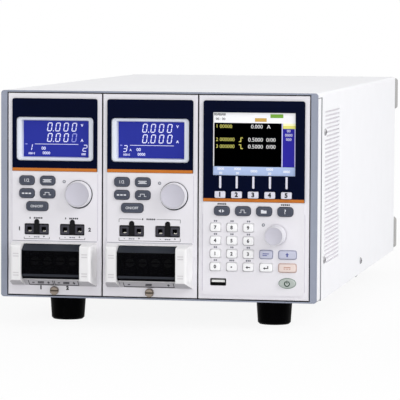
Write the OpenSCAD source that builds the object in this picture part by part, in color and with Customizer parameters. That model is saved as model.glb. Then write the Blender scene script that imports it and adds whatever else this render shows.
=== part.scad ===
// Bench dc electronic load: a two-slot mainframe with two plug-in load modules and a controller panel.
// Millimetres, +Z up, the front faces -Y, z = 0 is the table under the feet.
// Heights on the front are measured from the underside of the body, "out" is towards the user.

/* [Body] */
// Depth from the front frame to the rear edge of the cover
body_d = 542; // [480:1:620]
// Thickness of the cover sheet
cover_t = 1.2; // [0.8:0.1:2]
// Thickness of the chassis sheet
chassis_t = 1.5; // [1:0.1:2]
// Outer corner radius of the cover and the front frame
corner_r = 2.5; // [1:0.5:5]
// Distance from the front to the seam in the side of the cover
seam_y = 27; // [18:1:34]
// Thickness of the walls between the bays
partition_t = 1; // [0.8:0.1:1.4]

/* [Front frame] */
// Width of the frame columns at the left and the right
frame_side = 5.5; // [4:0.5:10]
// Height of the frame lips at the top and the bottom
frame_lip = 1.3; // [1.2:0.1:3]
// Gap between the frame and the panels
frame_gap = 1; // [0.6:0.1:1.2]
// Depth of the frame
frame_t = 4; // [3.5:0.5:8]

/* [Side vents] */
// Vent slots in each side
slot_count = 38; // [20:1:38]
// Spacing of the vent slots
slot_pitch = 3.48; // [2.8:0.02:3.6]
// Height of one vent slot
slot_h = 1.6; // [1:0.1:2]
// Length of one vent slot
slot_len = 88; // [50:1:130]
// Distance from the front to the vent field
slot_start = 45; // [43:1:60]
// Height of the lowest slot
slot_low = 30.1; // [20:0.1:36]

/* [Feet and rear guards] */
// Height of a foot
foot_h = 24; // [12:1:40]
// Diameter of a foot at the body
foot_top_d = 31.5; // [22:0.5:40]
// Diameter of a foot at the table
foot_tip_d = 28.5; // [18:0.5:36]
// Distance of the feet from the sides
foot_inset = 45; // [25:1:70]
// Distance of the front feet from the front
foot_front = 60; // [30:1:110]
// Distance of the rear feet from the rear edge
foot_rear = 45; // [25:1:90]
// Length of the rear corner guards behind the cover
guard_out = 20; // [8:1:30]
// Length of the arms of a corner guard
guard_arm = 31; // [22:1:44]
// Width of the arms of a corner guard
guard_w = 13; // [8:0.5:18]

/* [Panels] */
// Width of a load module
module_w = 81.3; // [78:0.1:92]
// Width of the controller panel
control_w = 94; // [91:0.1:105]
// Thickness of the panels
panel_t = 3; // [2.5:0.1:4]
// Gap between two panels
panel_gap = 1.2; // [1.2:0.1:2]
// Border of a load module beside its raised field
field_margin = 3.7; // [2:0.1:4.4]
// Border of the controller panel beside its raised field
control_margin = 3.9; // [2:0.1:4.6]
// Height of the raised field above the border
field_up = 1.2; // [0.6:0.1:2]
// Border above the raised field
top_margin = 4.3; // [3:0.1:8]

/* [Module front] */
// Height of the lock screw
lock_z = 6.1; // [5.6:0.1:6.2]
// Diameter of the lock screw head
lock_d = 7.4; // [5:0.1:7.6]
// Height of the lower edge of the terminal housing
housing_low = 10.2; // [10:0.1:14]
// Height of the terminal housing
housing_h = 37.6; // [35:0.1:42]
// Height of the sense sockets above the terminal housing
sense_rise = 10.5; // [6:0.1:14]
// Height of the wide key above the sense sockets
key_rise = 19.5; // [17:0.1:26]
// Vertical spacing of the module keys
key_pitch = 10.95; // [10.8:0.05:14]
// Height of the window above the top row of keys
window_rise = 8; // [6.5:0.1:12]
// Height of the module window
window_h = 61.8; // [56:0.1:72]

/* [Module keys and dial] */
// Width of a small dark key
key_w = 13.2; // [9:0.1:14]
// Height of a small dark key
key_h = 7.8; // [5:0.1:8.2]
// Width of the wide key
wide_key_w = 19; // [12:0.1:24]
// Distance between the two columns of keys
key_col = 18; // [17:0.1:20]
// Centre of the key columns from the module centre
key_x = -15; // [-17:0.1:-13]
// Corner radius of the dark keys
dark_key_r = 2.9; // [0.6:0.1:3.2]
// Diameter of the dial
dial_d = 22.6; // [14:0.1:23]
// Height of the dial above the field
dial_h = 7; // [4:0.5:14]
// Centre of the dial from the module centre
dial_x = 21.1; // [20:0.1:23]

/* [Key mechanics] */
// Corner radius of the pale keys
key_r = 1.2; // [0.4:0.1:2]
// Height of a key above its field
key_up = 2; // [1.6:0.1:3]
// Travel of a key
key_travel = 1.2; // [0.6:0.1:1.4]
// Gap between a key and its hole
key_gap = 0.35; // [0.2:0.05:0.4]
// Width of the retaining flange behind the panel
key_flange = 0.8; // [0.4:0.1:1]
// Radius of the crowned key top
crown_r = 70; // [50:1:120]

/* [Sense sockets] */
// Width of a sense socket
sense_w = 20.9; // [15:0.1:24]
// Height of a sense socket
sense_h = 9.2; // [7:0.1:10]
// Distance of the sense sockets from the module centre
sense_x = 15.5; // [13:0.1:20]
// Diameter of the two wire holes
sense_hole_d = 4.6; // [2:0.1:5.2]
// Width of the latch slot over the socket
latch_w = 4.2; // [2:0.1:4.6]
// Height of the latch slot over the socket
latch_h = 3.8; // [2:0.1:5]

/* [Load terminals] */
// Reach of the grip ears in front of the frame
ear_out = 18; // [17:0.5:26]
// Reach of the smoked cover
shield_out = 15; // [13:0.5:16]
// Width of the smoked cover
shield_w = 50.4; // [48:0.1:54]
// Wall of the smoked cover
shield_t = 1.6; // [1.2:0.1:2]
// Reach of the lips above and below the smoked cover
lip_out = 7; // [6.6:0.1:7.6]
// Diameter of the hinge pins
pin_d = 2.5; // [1.8:0.1:2.8]
// Spacing of the four load terminals
term_pitch = 11; // [10:0.1:12]
// Diameter of a terminal head
term_d = 7; // [5:0.1:7.6]

/* [Displays] */
// Height of a window above the panel border
window_t = 1.4; // [1:0.1:2]
// Corner radius of the windows
window_r = 2; // [1:0.1:4]
// Width of the opening for a module display
lcd_w = 67; // [58:0.1:68]
// Height of the opening for a module display
lcd_h = 37.2; // [34:0.1:42]
// Width of the glass of a module display
glass_w = 56.5; // [48:0.1:57.6]
// Height of the glass of a module display
glass_h = 30.6; // [26:0.1:33]
// Depth of the glass behind its bezel
glass_depth = 4; // [1:0.1:4.4]
// Height of the display centre above the window edge
lcd_rise = 27.4; // [25:0.1:31]
// Width of the controller screen
screen_w = 70.2; // [62:0.1:74]
// Height of the controller screen
screen_h = 53.2; // [46:0.1:55]
// Distance of the screen centre below the window top
screen_drop = 36.4; // [33:0.1:38]

/* [Controller keys] */
// Height of the lower border of the controller field
control_low = 6; // [4:0.1:8]
// Height of the USB socket and the power key
base_z = 16.8; // [14:0.1:17]
// Height of the lowest row of number keys
pad_z = 29.7; // [27:0.1:32]
// Vertical spacing of the number keys
pad_pitch = 11.05; // [10:0.05:12]
// Horizontal spacing of the number keys
pad_col = 14.05; // [12:0.05:15]
// Left column of number keys from the panel centre
pad_x = -32.3; // [-35.5:0.1:-31.5]
// Width of a number key
pad_w = 9.1; // [6:0.1:10]
// Height of a number key
pad_h = 7; // [5:0.1:7.6]
// Height of the menu keys above the number keys
menu_rise = 14; // [12:0.1:16]
// Spacing of the menu keys
menu_pitch = 18; // [17:0.1:19]
// Height of the window above the menu keys
control_rise = 7.7; // [6.5:0.1:11]
// Spacing of the soft keys
soft_pitch = 14.1; // [12:0.1:15]
// Centre of the soft keys from the panel centre
soft_x = -0.3; // [-1:0.1:1]
// Width of a soft key
soft_w = 8.9; // [6:0.1:10]
// Height of a soft key
soft_h = 5.6; // [4:0.1:6]
// Height of the soft keys above the window edge
soft_rise = 6; // [5.6:0.1:8]
// Centre of the enter column from the panel centre
enter_x = 11; // [9.5:0.1:11]
// Width of the keys in the enter column
enter_w = 11; // [8:0.1:13]
// Centre of the last key column from the panel centre
last_x = 29.1; // [27:0.1:30]
// Width of the keys in the last column
last_w = 14.9; // [10:0.1:17]
// Width of the oval power key
power_w = 14.1; // [10:0.1:16]
// Height of the oval power key
power_h = 8; // [6:0.1:9]

/* [Controller knob and socket] */
// Diameter of the tall knob
knob_d = 17; // [12:0.1:18]
// Height of the tall knob above the field
knob_h = 14; // [8:0.5:20]
// Centre of the knob from the panel centre
knob_x = 19.4; // [18:0.1:21]
// Diameter of the knob shafts
shaft_d = 6; // [4:0.1:6.4]
// Width of the USB socket
usb_w = 13.2; // [12:0.1:14]
// Height of the USB socket
usb_h = 5.8; // [5.4:0.1:7]
// Centre of the USB socket from the panel centre
usb_x = -29.8; // [-33:0.1:-27]

/* [Hidden] */
$fn = 64;
fit = 0.3;
tiny = 0.2;
arc_steps = 6;

// Heights of the module front, stacked from the bottom
panel_low = frame_lip + frame_gap;
housing_top = housing_low + housing_h;
sense_z = housing_top + sense_rise;
wide_z = sense_z + key_rise;
row_1 = wide_z + key_pitch;
row_2 = row_1 + key_pitch;
window_low = row_2 + window_rise;
window_top = window_low + window_h;
panel_high = window_top + top_margin;
body_h = panel_high + panel_low;
panel_height = panel_high - panel_low;
panel_mid = (panel_high + panel_low) / 2;

// Widths of the front, from the left to the right
body_w = 2 * module_w + control_w + 2 * panel_gap + 2 * (frame_side + frame_gap);
open_w = body_w - 2 * frame_side;
left_x = -open_w / 2 + frame_gap + module_w / 2;
right_x = left_x + module_w + panel_gap;
control_x = right_x + module_w / 2 + panel_gap + control_w / 2;
wall_1 = (left_x + right_x) / 2;
wall_2 = right_x + (module_w + panel_gap) / 2;
field_half = module_w / 2 - field_margin;
control_half = control_w / 2 - control_margin;

// Places along the depth
front_y = -(ear_out + body_d + guard_out) / 2 + ear_out;
rear_y = front_y + body_d;
rear_recess = 3;
rear_in = rear_y - rear_recess - chassis_t;
inner_half = body_w / 2 - cover_t - tiny;
inner_h = body_h - cover_t - tiny;
lid_gap = 2;

// Behind the panels
flange_t = 1;
switch_h = 2.1;
boss_h = fit + flange_t + key_travel + switch_h;
boss_d = 5;
lock_hole_d = 4.6;
board_t = 1.6;
board_out = -panel_t - boss_h;
display_back = board_out + fit;
rail_top = 12;
rail_t = 2;
rail_out = -panel_t - 1;
unit_low = rail_top + fit;
unit_half = module_w / 2 - tiny;
unit_h = 140;
unit_rear = rear_in - 46;
unit_len = unit_rear - front_y - panel_t;
sheet = 1.2;

// Rows of the controller
pad_top = pad_z + 3 * pad_pitch;
menu_z = pad_top + menu_rise;
control_window = menu_z + control_rise;
soft_z = control_window + soft_rise;
screen_z = window_top - screen_drop;
knob_z = pad_z + 2.5 * pad_pitch;

// Terminal housing and smoked cover, as out and height
ear_draft = 2.2;
ear_r = 2.5;
ear_low = housing_low + 5;
ear_top = housing_top - 2.2;
shield_low = housing_low + 6.7;
shield_top = housing_top - 1.8;
shield_foot = shield_low + 4.1;
shield_brow = shield_top - 4.6;
shield_fit = 0.4;
foot_out = shield_out - 3;
lip_low = shield_low - shield_fit - 0.8;
pocket_half = shield_w / 2 + fit;
hinge_out = lip_out + 2;
hinge_z = shield_top - 2.8;
pin_fit = 0.08;
pin_len = 2.4;
block_out = 2;
block_back = 16;
barrier_out = 5;
barrier_t = 1.6;

// Sockets in the rear wall as x, height, width and height of the opening: mains inlet, serial, USB
inlet_x = control_x + 14;
port_x = control_x - 20;
inlet = [inlet_x, 34, 27, 20];
serial_port = [port_x, 100, 20, 9];
usb_port = [port_x, 130, 12, 11];
rear_sockets = [inlet, serial_port, usb_port];

// Inside of the bays
fan_z = 104;
board_gap = 12;
board_mid = 34;
backplane_h = 36;
header_w = 48;
header_h = 12;
header_d = 10;
unit_back = -panel_t - unit_len;
sink_h = 84;
sink_low = unit_low + sheet + tiny;
sink_margin = 60;
sink_start = -sink_margin;
sink_end = unit_back + sink_margin;

// Heights of the cover screws, whose neighbouring slots start later
screw_low = 33;
screw_high = 141.5;
screw_room = 3.6;
screw_inset = 9;

// Colours of the pale keys beside the number keys
pale_blue = [0.74, 0.77, 0.88];
pale_white = [0.96, 0.96, 0.94];
pale_pink = [0.92, 0.82, 0.79];

// Names of all nodes
sides = ["left", "right"];
digits = [0:9];

// Puts a shape on the front: x across, y up from the underside of the body, z out of the front
module front(x = 0, z = 0) {
    translate([x, front_y, foot_h + z]) rotate([90, 0, 0]) children();
}

// Extrudes a flat outline between two reaches out of the front
module slab(from, to) {
    translate([0, 0, from]) linear_extrude(to - from) children();
}

// Extrudes an outline of out and height across the front, centred
module across(w) {
    rotate([0, -90, 0]) linear_extrude(w, center = true) children();
}

// Extrudes an outline of across and out upwards, centred
module upright(h) {
    rotate([90, 0, 0]) linear_extrude(h, center = true) children();
}

// A rectangle with round corners, centred
module rounded(w, h, r) {
    square([w - 2 * r, h], center = true);
    square([w, h - 2 * r], center = true);
    for (sx = [-1, 1], sz = [-1, 1]) {
        translate([sx * (w / 2 - r), sz * (h / 2 - r)]) circle(r);
    }
}

// A rectangle between two corners
module box_2d(a, b) {
    translate(a) square(b - a);
}

// A box between two corners
module box_3d(a, b) {
    translate(a) cube(b - a);
}

// Points of a polygon whose corners are rounded by the radii r
function unit(v) = v / norm(v);
function turn(a) = a > 180 ? a - 360 : a < -180 ? a + 360 : a;
function corner(a, b, c, r) =
    let (u = unit(a - b), v = unit(c - b), half = acos(u * v) / 2)
    let (m = b + unit(u + v) * r / sin(half))
    let (p = b + u * r / tan(half) - m, q = b + v * r / tan(half) - m)
    let (s = atan2(p[1], p[0]), w = turn(atan2(q[1], q[0]) - s))
    [for (i = [0:arc_steps]) m + r * [cos(s + w * i / arc_steps), sin(s + w * i / arc_steps)]];
function soften(pts, r) =
    let (n = len(pts))
    [for (i = [0:n - 1]) each r[i] == 0 ? [pts[i]] :
        corner(pts[(i + n - 1) % n], pts[i], pts[(i + 1) % n], r[i])];

// Mainframe

// Folded base with side flanges, bay walls and the rails of the modules, and the rear wall behind it
module chassis() {
    color([0.93, 0.93, 0.94]) {
        difference() {
            union() {
                chassis_base();
                chassis_rails();
            }
            for (x = [left_x, right_x]) {
                front(x, lock_z) translate([0, 0, rail_out - rail_t - 1])
                    cylinder(h = rail_t + 2, d = lock_hole_d);
            }
        }
        rear_wall();
    }
}

module chassis_base() {
    floor_y = front_y + frame_t;
    flange_lap = 14;
    flange_end = front_y + seam_y + flange_lap;
    flange_top = body_h - corner_r - tiny;
    wall_start = floor_y + 2;
    wall_end = unit_rear - 6;
    box_3d([-inner_half, floor_y, foot_h], [inner_half, rear_in - tiny, foot_h + chassis_t]);
    for (s = [-1, 1]) {
        edge = s * (inner_half - chassis_t / 2);
        box_3d([edge - chassis_t / 2, floor_y, foot_h],
               [edge + chassis_t / 2, flange_end, foot_h + flange_top]);
    }
    for (x = [wall_1, wall_2]) {
        box_3d([x - partition_t / 2, wall_start, foot_h],
               [x + partition_t / 2, wall_end, foot_h + inner_h - lid_gap]);
    }
}

module chassis_rails() {
    rail_w = wall_2 + inner_half;
    for (y = [front_y - rail_out, unit_rear - sink_margin]) {
        box_3d([-inner_half, y, foot_h], [-inner_half + rail_w, y + rail_t, foot_h + rail_top]);
    }
}

// Rear wall with air outlets, socket openings and the posts of the backplane
module rear_wall() {
    post_d = 6;
    post_x = 24;
    edge = inner_half;
    cut = corner_r;
    outline = [[-edge, 0], [edge, 0], [edge, inner_h - cut], [edge - cut, inner_h],
               [-edge + cut, inner_h], [-edge, inner_h - cut]];
    difference() {
        translate([0, rear_in + chassis_t, foot_h]) rotate([90, 0, 0]) linear_extrude(chassis_t)
            polygon(outline);
        for (x = [left_x, right_x]) rear_grille(x);
        rear_cutouts(fit);
    }
    for (x = [left_x, right_x], s = [-1, 1]) {
        translate([x + s * post_x, rear_in - board_gap, foot_h + board_mid]) rotate([-90, 0, 0])
            cylinder(h = board_gap + chassis_t / 2, d = post_d);
    }
}

// Round air outlet of one bay, crossed by bars
module rear_grille(x) {
    outlet_d = 70;
    bar = 4.5;
    bars = 4;
    step = outlet_d / (bars + 1);
    translate([x, rear_in - 1, foot_h + fan_z]) rotate([-90, 0, 0]) linear_extrude(chassis_t + 2)
        difference() {
            circle(d = outlet_d);
            for (i = [1:bars]) {
                translate([0, -outlet_d / 2 + i * step]) square([outlet_d, bar], center = true);
            }
        }
}

// Outlines of the sockets in the rear wall, wider by the given gap
module rear_cutouts(gap) {
    for (s = rear_sockets) {
        translate([s[0], rear_in - 1, foot_h + s[1]]) rotate([-90, 0, 0]) linear_extrude(chassis_t + 2)
            square([s[2] + 2 * gap, s[3] + 2 * gap], center = true);
    }
}

// Sheet bent over the top and both sides, with vent slots
module top_cover() {
    color([0.96, 0.96, 0.97]) difference() {
        cover_shell();
        for (s = [-1, 1]) {
            cover_notch(s);
            vent_field(s);
        }
    }
}

module cover_shell() {
    shell_d = body_d - frame_t;
    r = corner_r;
    inner_r = max(corner_r - cover_t, 0.4);
    w = body_w / 2;
    i = w - cover_t;
    low = -1;
    translate([0, rear_y, foot_h]) rotate([90, 0, 0]) linear_extrude(shell_d) difference() {
        union() {
            box_2d([-w, 0], [w, body_h - r]);
            box_2d([-w + r, 0], [w - r, body_h]);
            for (s = [-1, 1]) translate([s * (w - r), body_h - r]) circle(r);
        }
        box_2d([-i, low], [i, body_h - cover_t - inner_r]);
        box_2d([-i + inner_r, low], [i - inner_r, body_h - cover_t]);
        for (s = [-1, 1]) translate([s * (i - inner_r), body_h - cover_t - inner_r]) circle(inner_r);
    }
}

// Cuts the side back to the seam and leaves the top running on to the frame
module cover_notch(s) {
    x = s * body_w / 2;
    box_3d([x - 5, front_y, foot_h - 1], [x + 5, front_y + seam_y, foot_h + body_h - corner_r - 1.4]);
}

function slot_z(i) = slot_low + i * slot_pitch;
function slot_inset(z) = min(abs(z - screw_low), abs(z - screw_high)) < screw_room ? screw_inset : 0;

module vent_field(s) {
    for (i = [0:slot_count - 1]) {
        z = foot_h + slot_z(i);
        y = front_y + slot_start + slot_inset(slot_z(i));
        x = s * (body_w / 2 - cover_t / 2);
        y_end = front_y + slot_start + slot_len;
        box_3d([x - cover_t, y, z - slot_h / 2], [x + cover_t, y_end, z + slot_h / 2]);
    }
}

// Ring round the three panels
module front_frame() {
    edge = 0.6;
    color([0.55, 0.59, 0.65]) front(0, body_h / 2) difference() {
        union() {
            slab(-frame_t, -edge) rounded(body_w, body_h, corner_r);
            slab(-edge, 0) rounded(body_w - 2 * edge, body_h - 2 * edge, corner_r);
        }
        slab(-frame_t - 1, 1) square([open_w, body_h - 2 * frame_lip], center = true);
    }
}

// Corner pieces behind the cover that guard the rear sockets
module corner_guards() {
    color([0.5, 0.52, 0.56]) for (sx = [-1, 1], top = [0, 1]) {
        translate([0, rear_y, foot_h + top * body_h]) scale_sign(sx, top == 0 ? 1 : -1) corner_guard();
    }
}

// Mirrors a shape into the quarter given by two signs
module scale_sign(sx, sz) {
    mirror([sx > 0 ? 0 : 1, 0, 0]) mirror([0, 0, sz > 0 ? 0 : 1]) children();
}

module corner_guard() {
    w = body_w / 2;
    wrap = 0.8;
    rise = 1.6;
    outer_r = 3;
    inner_r = 3;
    tip = 3;
    bevel = 1.5;
    outline = [[w + wrap, rise], [w + wrap, rise + guard_arm], [w + wrap - guard_w, rise + guard_arm],
               [w + wrap - guard_w, rise + guard_w], [w + wrap - guard_arm, rise + guard_w],
               [w + wrap - guard_arm, rise]];
    radii = [outer_r, inner_r, inner_r, 0, inner_r, inner_r];
    seat = inner_half - 1;
    rotate([90, 0, 0]) {
        slab(-guard_out + tip, 0) polygon(soften(outline, radii));
        slab(-guard_out, -guard_out + tip) intersection() {
            polygon(soften(outline, radii));
            translate([-bevel, bevel]) polygon(soften(outline, radii));
        }
        slab(-1, rear_recess) box_2d([seat - guard_w + 4, rise + 4], [seat, rise + guard_arm - 4]);
    }
}

// Round tapered feet with a softened lower edge
module feet() {
    r_top = foot_top_d / 2;
    r_tip = foot_tip_d / 2;
    bevel = 1.5;
    recess_r = 5;
    recess_h = 10;
    color([0.09, 0.09, 0.1]) for (s = [-1, 1], y = [front_y + foot_front, rear_y - foot_rear]) {
        translate([s * (body_w / 2 - foot_inset), y, 0]) rotate_extrude()
            polygon([[recess_r, 0], [r_tip - bevel, 0], [r_tip, bevel], [r_top, foot_h], [0, foot_h],
                     [0, recess_h], [recess_r, recess_h]]);
    }
}

// Control board, backplane with one connector for each bay, and the power supply case
module circuit_boards() {
    edge = 6;
    color([0.1, 0.36, 0.2]) {
        front(control_x, panel_mid) slab(board_out - board_t, board_out)
            square([control_w - 2 * edge, panel_height - 2 * edge], center = true);
        backplane();
        power_supply();
    }
}

module backplane() {
    y = rear_in - board_gap;
    x_0 = left_x - unit_half + 4;
    x_1 = right_x + unit_half - 4;
    z = foot_h + board_mid;
    box_3d([x_0, y - board_t, z - backplane_h / 2], [x_1, y, z + backplane_h / 2]);
    for (x = [left_x, right_x]) {
        box_3d([x - header_w / 2, y - board_t - header_d, z - header_h / 2],
               [x + header_w / 2, y - board_t, z + header_h / 2]);
    }
}

module power_supply() {
    supply_w = control_w - 24;
    supply_l = 170;
    supply_h = 62;
    foot_y = rear_in - sink_margin;
    z = foot_h + chassis_t;
    difference() {
        box_3d([control_x - supply_w / 2, foot_y - supply_l, z],
               [control_x + supply_w / 2, foot_y, z + supply_h]);
        for (i = [0:11]) {
            translate([control_x, foot_y - supply_l + 26 + i * 10, z + supply_h])
                cube([supply_w - 20, 4, 6], center = true);
        }
    }
}

// USB socket on the front, mains inlet and data sockets on the rear
module sockets() {
    color([0.1, 0.1, 0.11]) {
        usb_socket();
        mains_inlet();
        for (s = [serial_port, usb_port]) data_socket(s);
    }
}

module usb_socket() {
    shell = 0.5;
    tongue_h = 1.9;
    tongue_gap = 0.7;
    floor_out = board_out + 2;
    front(control_x + usb_x, base_z) {
        difference() {
            slab(board_out + tiny, field_up + tiny) rounded(usb_w, usb_h, 0.6);
            slab(floor_out, field_up + 1) square([usb_w - 2 * shell, usb_h - 2 * shell], center = true);
        }
        slab(floor_out, field_up - 0.6) translate([0, usb_h / 2 - shell - tongue_gap - tongue_h / 2])
            square([usb_w - 4 * shell, tongue_h], center = true);
    }
}

// Recessed inlet with a flange and three blades
module mains_inlet() {
    s = inlet;
    flange = 4;
    flange_h = 2.4;
    wall = 2;
    depth = 22;
    blade = [2, 4];
    blade_pitch = 7;
    blade_z = 2.5;
    blade_in = 5;
    outer = rear_in + chassis_t;
    translate([s[0], outer, foot_h + s[1]]) rotate([-90, 0, 0]) {
        difference() {
            union() {
                slab(0, flange_h) rounded(s[2] + 2 * flange, s[3] + 2 * flange, 3);
                slab(-depth, 0) square([s[2], s[3]], center = true);
            }
            slab(-depth + wall, flange_h + 1) square([s[2] - 2 * wall, s[3] - 2 * wall], center = true);
        }
        for (i = [-1, 0, 1]) {
            slab(-depth + wall + tiny, -blade_in) translate([i * blade_pitch, i == 0 ? blade_z : -blade_z])
                square(blade, center = true);
        }
    }
}

// Data socket with a shell and a tongue that leaves a narrow gap
module data_socket(s) {
    flange = 3;
    flange_h = 1.6;
    depth = 12;
    wall = 1.2;
    gap = 1.6;
    outer = rear_in + chassis_t;
    translate([s[0], outer, foot_h + s[1]]) rotate([-90, 0, 0]) difference() {
        union() {
            slab(0, flange_h) rounded(s[2] + 2 * flange, s[3] + 2 * flange, 1);
            slab(-depth, 0) square([s[2], s[3]], center = true);
        }
        slab(-depth + wall + 2, flange_h + 1) difference() {
            square([s[2] - 2 * wall, s[3] - 2 * wall], center = true);
            square([s[2] - 2 * wall - 2 * gap, s[3] - 2 * wall - 2 * gap], center = true);
        }
    }
}

// Keys and knobs

// A key with a crowned top and a flange behind the panel, its field lies at the height base
module key_cap(w, h, base, r = key_r) {
    back = -panel_t - fit;
    intersection() {
        slab(back - flange_t, base + key_up) rounded(w, h, r);
        translate([0, 0, base + key_up - crown_r]) sphere(crown_r);
    }
    slab(back - flange_t, back) rounded(w + 2 * key_flange, h + 2 * key_flange, r);
}

module key_hole(w, h, r = key_r) {
    slab(-panel_t - 1, field_up + window_t + 1) rounded(w + 2 * key_gap, h + 2 * key_gap, r + key_gap);
}

// Places of the module keys, counted along the rows from the top
function module_key(i) = [key_x + (i % 2 == 1 ? -1 : 1) * key_col / 2, i < 3 ? row_2 : row_1];

// Places of the controller keys
function soft_key_x(i) = (i - 3) * soft_pitch + soft_x;
function menu_key_x(i) = (i - 2.5) * menu_pitch;
function digit_col(d) = d == 0 ? 0 : (d - 1) % 3;
function digit_row(d) = d == 0 ? 0 : 1 + floor((d - 1) / 3);
function pad_place(c, r) = [pad_x + c * pad_col, pad_z + r * pad_pitch];
function digit_place(d) = pad_place(digit_col(d), digit_row(d));

module control_key(x, z, w, h, base, r = key_r) {
    front(control_x + x, z) key_cap(w, h, base, r);
}

module soft_key(i) {
    color([0.8, 0.8, 0.88]) control_key(soft_key_x(i), soft_z, soft_w, soft_h, window_t);
}

module menu_key(i) {
    color([0.27, 0.29, 0.34]) control_key(menu_key_x(i), menu_z, key_w, key_h, field_up, dark_key_r);
}

module pad_key(p) {
    color([0.94, 0.94, 0.95]) control_key(p[0], p[1], pad_w, pad_h, field_up);
}

module side_key(x, r, w, c) {
    color(c) control_key(x, pad_z + r * pad_pitch, w, pad_h, field_up);
}

// An ellipse as a formula
module oval(w, h) {
    steps = 48;
    polygon([for (i = [0:steps - 1]) [w / 2 * cos(360 * i / steps), h / 2 * sin(360 * i / steps)]]);
}

module power_key() {
    back = -panel_t - fit;
    color([0.74, 0.81, 0.76]) front(control_x + last_x, base_z) {
        intersection() {
            slab(back - flange_t, field_up + key_up) oval(power_w, power_h);
            translate([0, 0, field_up + key_up - crown_r]) sphere(crown_r);
        }
        slab(back - flange_t, back) oval(power_w + 2 * key_flange, power_h + 2 * key_flange);
    }
}

// A turned knob on its shaft, with a sunk face inside a rim
module turned_knob(d, h) {
    bevel = 1.1;
    draft = 0.4;
    skirt = 0.25;
    rim = 0.8;
    sink = 0.3;
    face = d / 2 - draft - bevel;
    rotate_extrude() polygon([[0, skirt], [d / 2, skirt], [d / 2 - draft, h - bevel], [face, h],
                              [face - rim, h], [face - rim - sink, h - sink], [0, h - sink]]);
    translate([0, 0, board_out + 1 - field_up]) cylinder(h = field_up - board_out, d = shaft_d);
}

module control_knob() {
    color([0.8, 0.8, 0.86]) front(control_x + knob_x, knob_z) translate([0, 0, field_up])
        turned_knob(knob_d, knob_h);
}

module dial(cx) {
    color([0.84, 0.84, 0.88]) front(cx + dial_x, row_1) translate([0, 0, field_up])
        turned_knob(dial_d, dial_h);
}

// Controller panel

module control_panel() {
    color([0.9, 0.9, 0.93]) front(control_x) difference() {
        union() {
            panel_plate(control_w);
            slab(0, field_up) translate([0, (control_low + control_window - tiny) / 2])
                rounded(2 * control_half, control_window - tiny - control_low, window_r);
            panel_bosses(control_w);
            seat_ribs();
        }
        control_holes();
    }
}

// Ribs on the edges of the controller panel that sit in the front frame
module seat_ribs() {
    rib_x = control_w / 3;
    rib_w = 8;
    rib_t = 1.5;
    root = 1;
    reach = frame_gap - tiny / 2;
    for (s = [-1, 1], z = [panel_low - reach, panel_high - root]) {
        translate([s * rib_x, z, -panel_t]) box_3d([-rib_w / 2, 0, 0], [rib_w / 2, reach + root, rib_t]);
    }
}

module panel_plate(w) {
    edge = 0.5;
    slab(-panel_t, -edge) translate([0, panel_mid]) square([w, panel_height], center = true);
    slab(-edge, 0) translate([0, panel_mid]) rounded(w - 2 * edge, panel_height - 2 * edge, edge);
}

// Four bosses that carry the board behind a panel
module panel_bosses(w) {
    inset = 8;
    for (s = [-1, 1], z = [board_low(w), panel_high - inset]) {
        translate([s * (w / 2 - inset + 1.5), z, board_out]) cylinder(h = boss_h + panel_t / 4, d = boss_d);
    }
}

// Lower edge of the boss rows, the module board ends above the sense sockets
function board_low(w) = w == control_w ? panel_low + 9 : sense_z + 14;

module control_holes() {
    for (i = [1:5]) translate([soft_key_x(i), soft_z]) key_hole(soft_w, soft_h);
    for (i = [1:4]) translate([menu_key_x(i), menu_z]) key_hole(key_w, key_h, dark_key_r);
    for (c = [0:2], r = [0:3]) translate(pad_place(c, r)) key_hole(pad_w, pad_h);
    for (r = [0, 1]) {
        translate([enter_x, pad_z + r * pad_pitch]) key_hole(enter_w, pad_h);
        translate([last_x, pad_z + r * pad_pitch]) key_hole(last_w, pad_h);
    }
    translate([last_x, base_z]) slab(-panel_t - 1, field_up + 1)
        oval(power_w + 2 * key_gap, power_h + 2 * key_gap);
    translate([usb_x, base_z]) slab(-panel_t - 1, field_up + 1)
        rounded(usb_w + 2 * tiny, usb_h + 2 * tiny, 0.8);
    knob_hole(knob_x, knob_z, knob_d);
    translate([0, screen_z]) slab(-panel_t - 1, 1) square([screen_w + 3, screen_h + 3], center = true);
}

// Shaft hole with a shallow round seat for the knob
module knob_hole(x, z, d) {
    seat = 0.4;
    translate([x, z, -panel_t - 1]) cylinder(h = panel_t + field_up + 2, d = shaft_d + 2 * fit);
    translate([x, z, field_up - seat]) cylinder(h = seat + 1, d = d + 1.6);
}

// Window plate with an opening, between two heights
module window_plate(half, low, high) {
    outline = [[-half, low], [half, low], [half, high], [-half, high]];
    slab(0, window_t) polygon(soften(outline, [0, 0, window_r, window_r]));
}

module control_display() {
    screen_edge = 2.4;
    color([0.03, 0.04, 0.15]) front(control_x) {
        difference() {
            window_plate(control_half, control_window, window_top);
            for (i = [1:5]) translate([soft_key_x(i), soft_z]) key_hole(soft_w, soft_h);
            translate([0, screen_z]) slab(-1, window_t + 1) square([screen_w, screen_h], center = true);
        }
        translate([0, screen_z]) slab(display_back, -tiny)
            square([screen_w + screen_edge, screen_h + screen_edge], center = true);
    }
}

// Load modules, both alike

module module_panel(cx) {
    color([0.9, 0.9, 0.93]) front(cx) difference() {
        union() {
            panel_plate(module_w);
            slab(0, field_up) box_2d([-field_half, housing_top - 1], [field_half, window_low - tiny]);
            terminal_housing();
            panel_bosses(module_w);
        }
        module_holes();
        terminal_pocket();
        for (s = [-1, 1]) {
            grip_scoop(s);
            grip_grooves(s);
        }
    }
}

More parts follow.
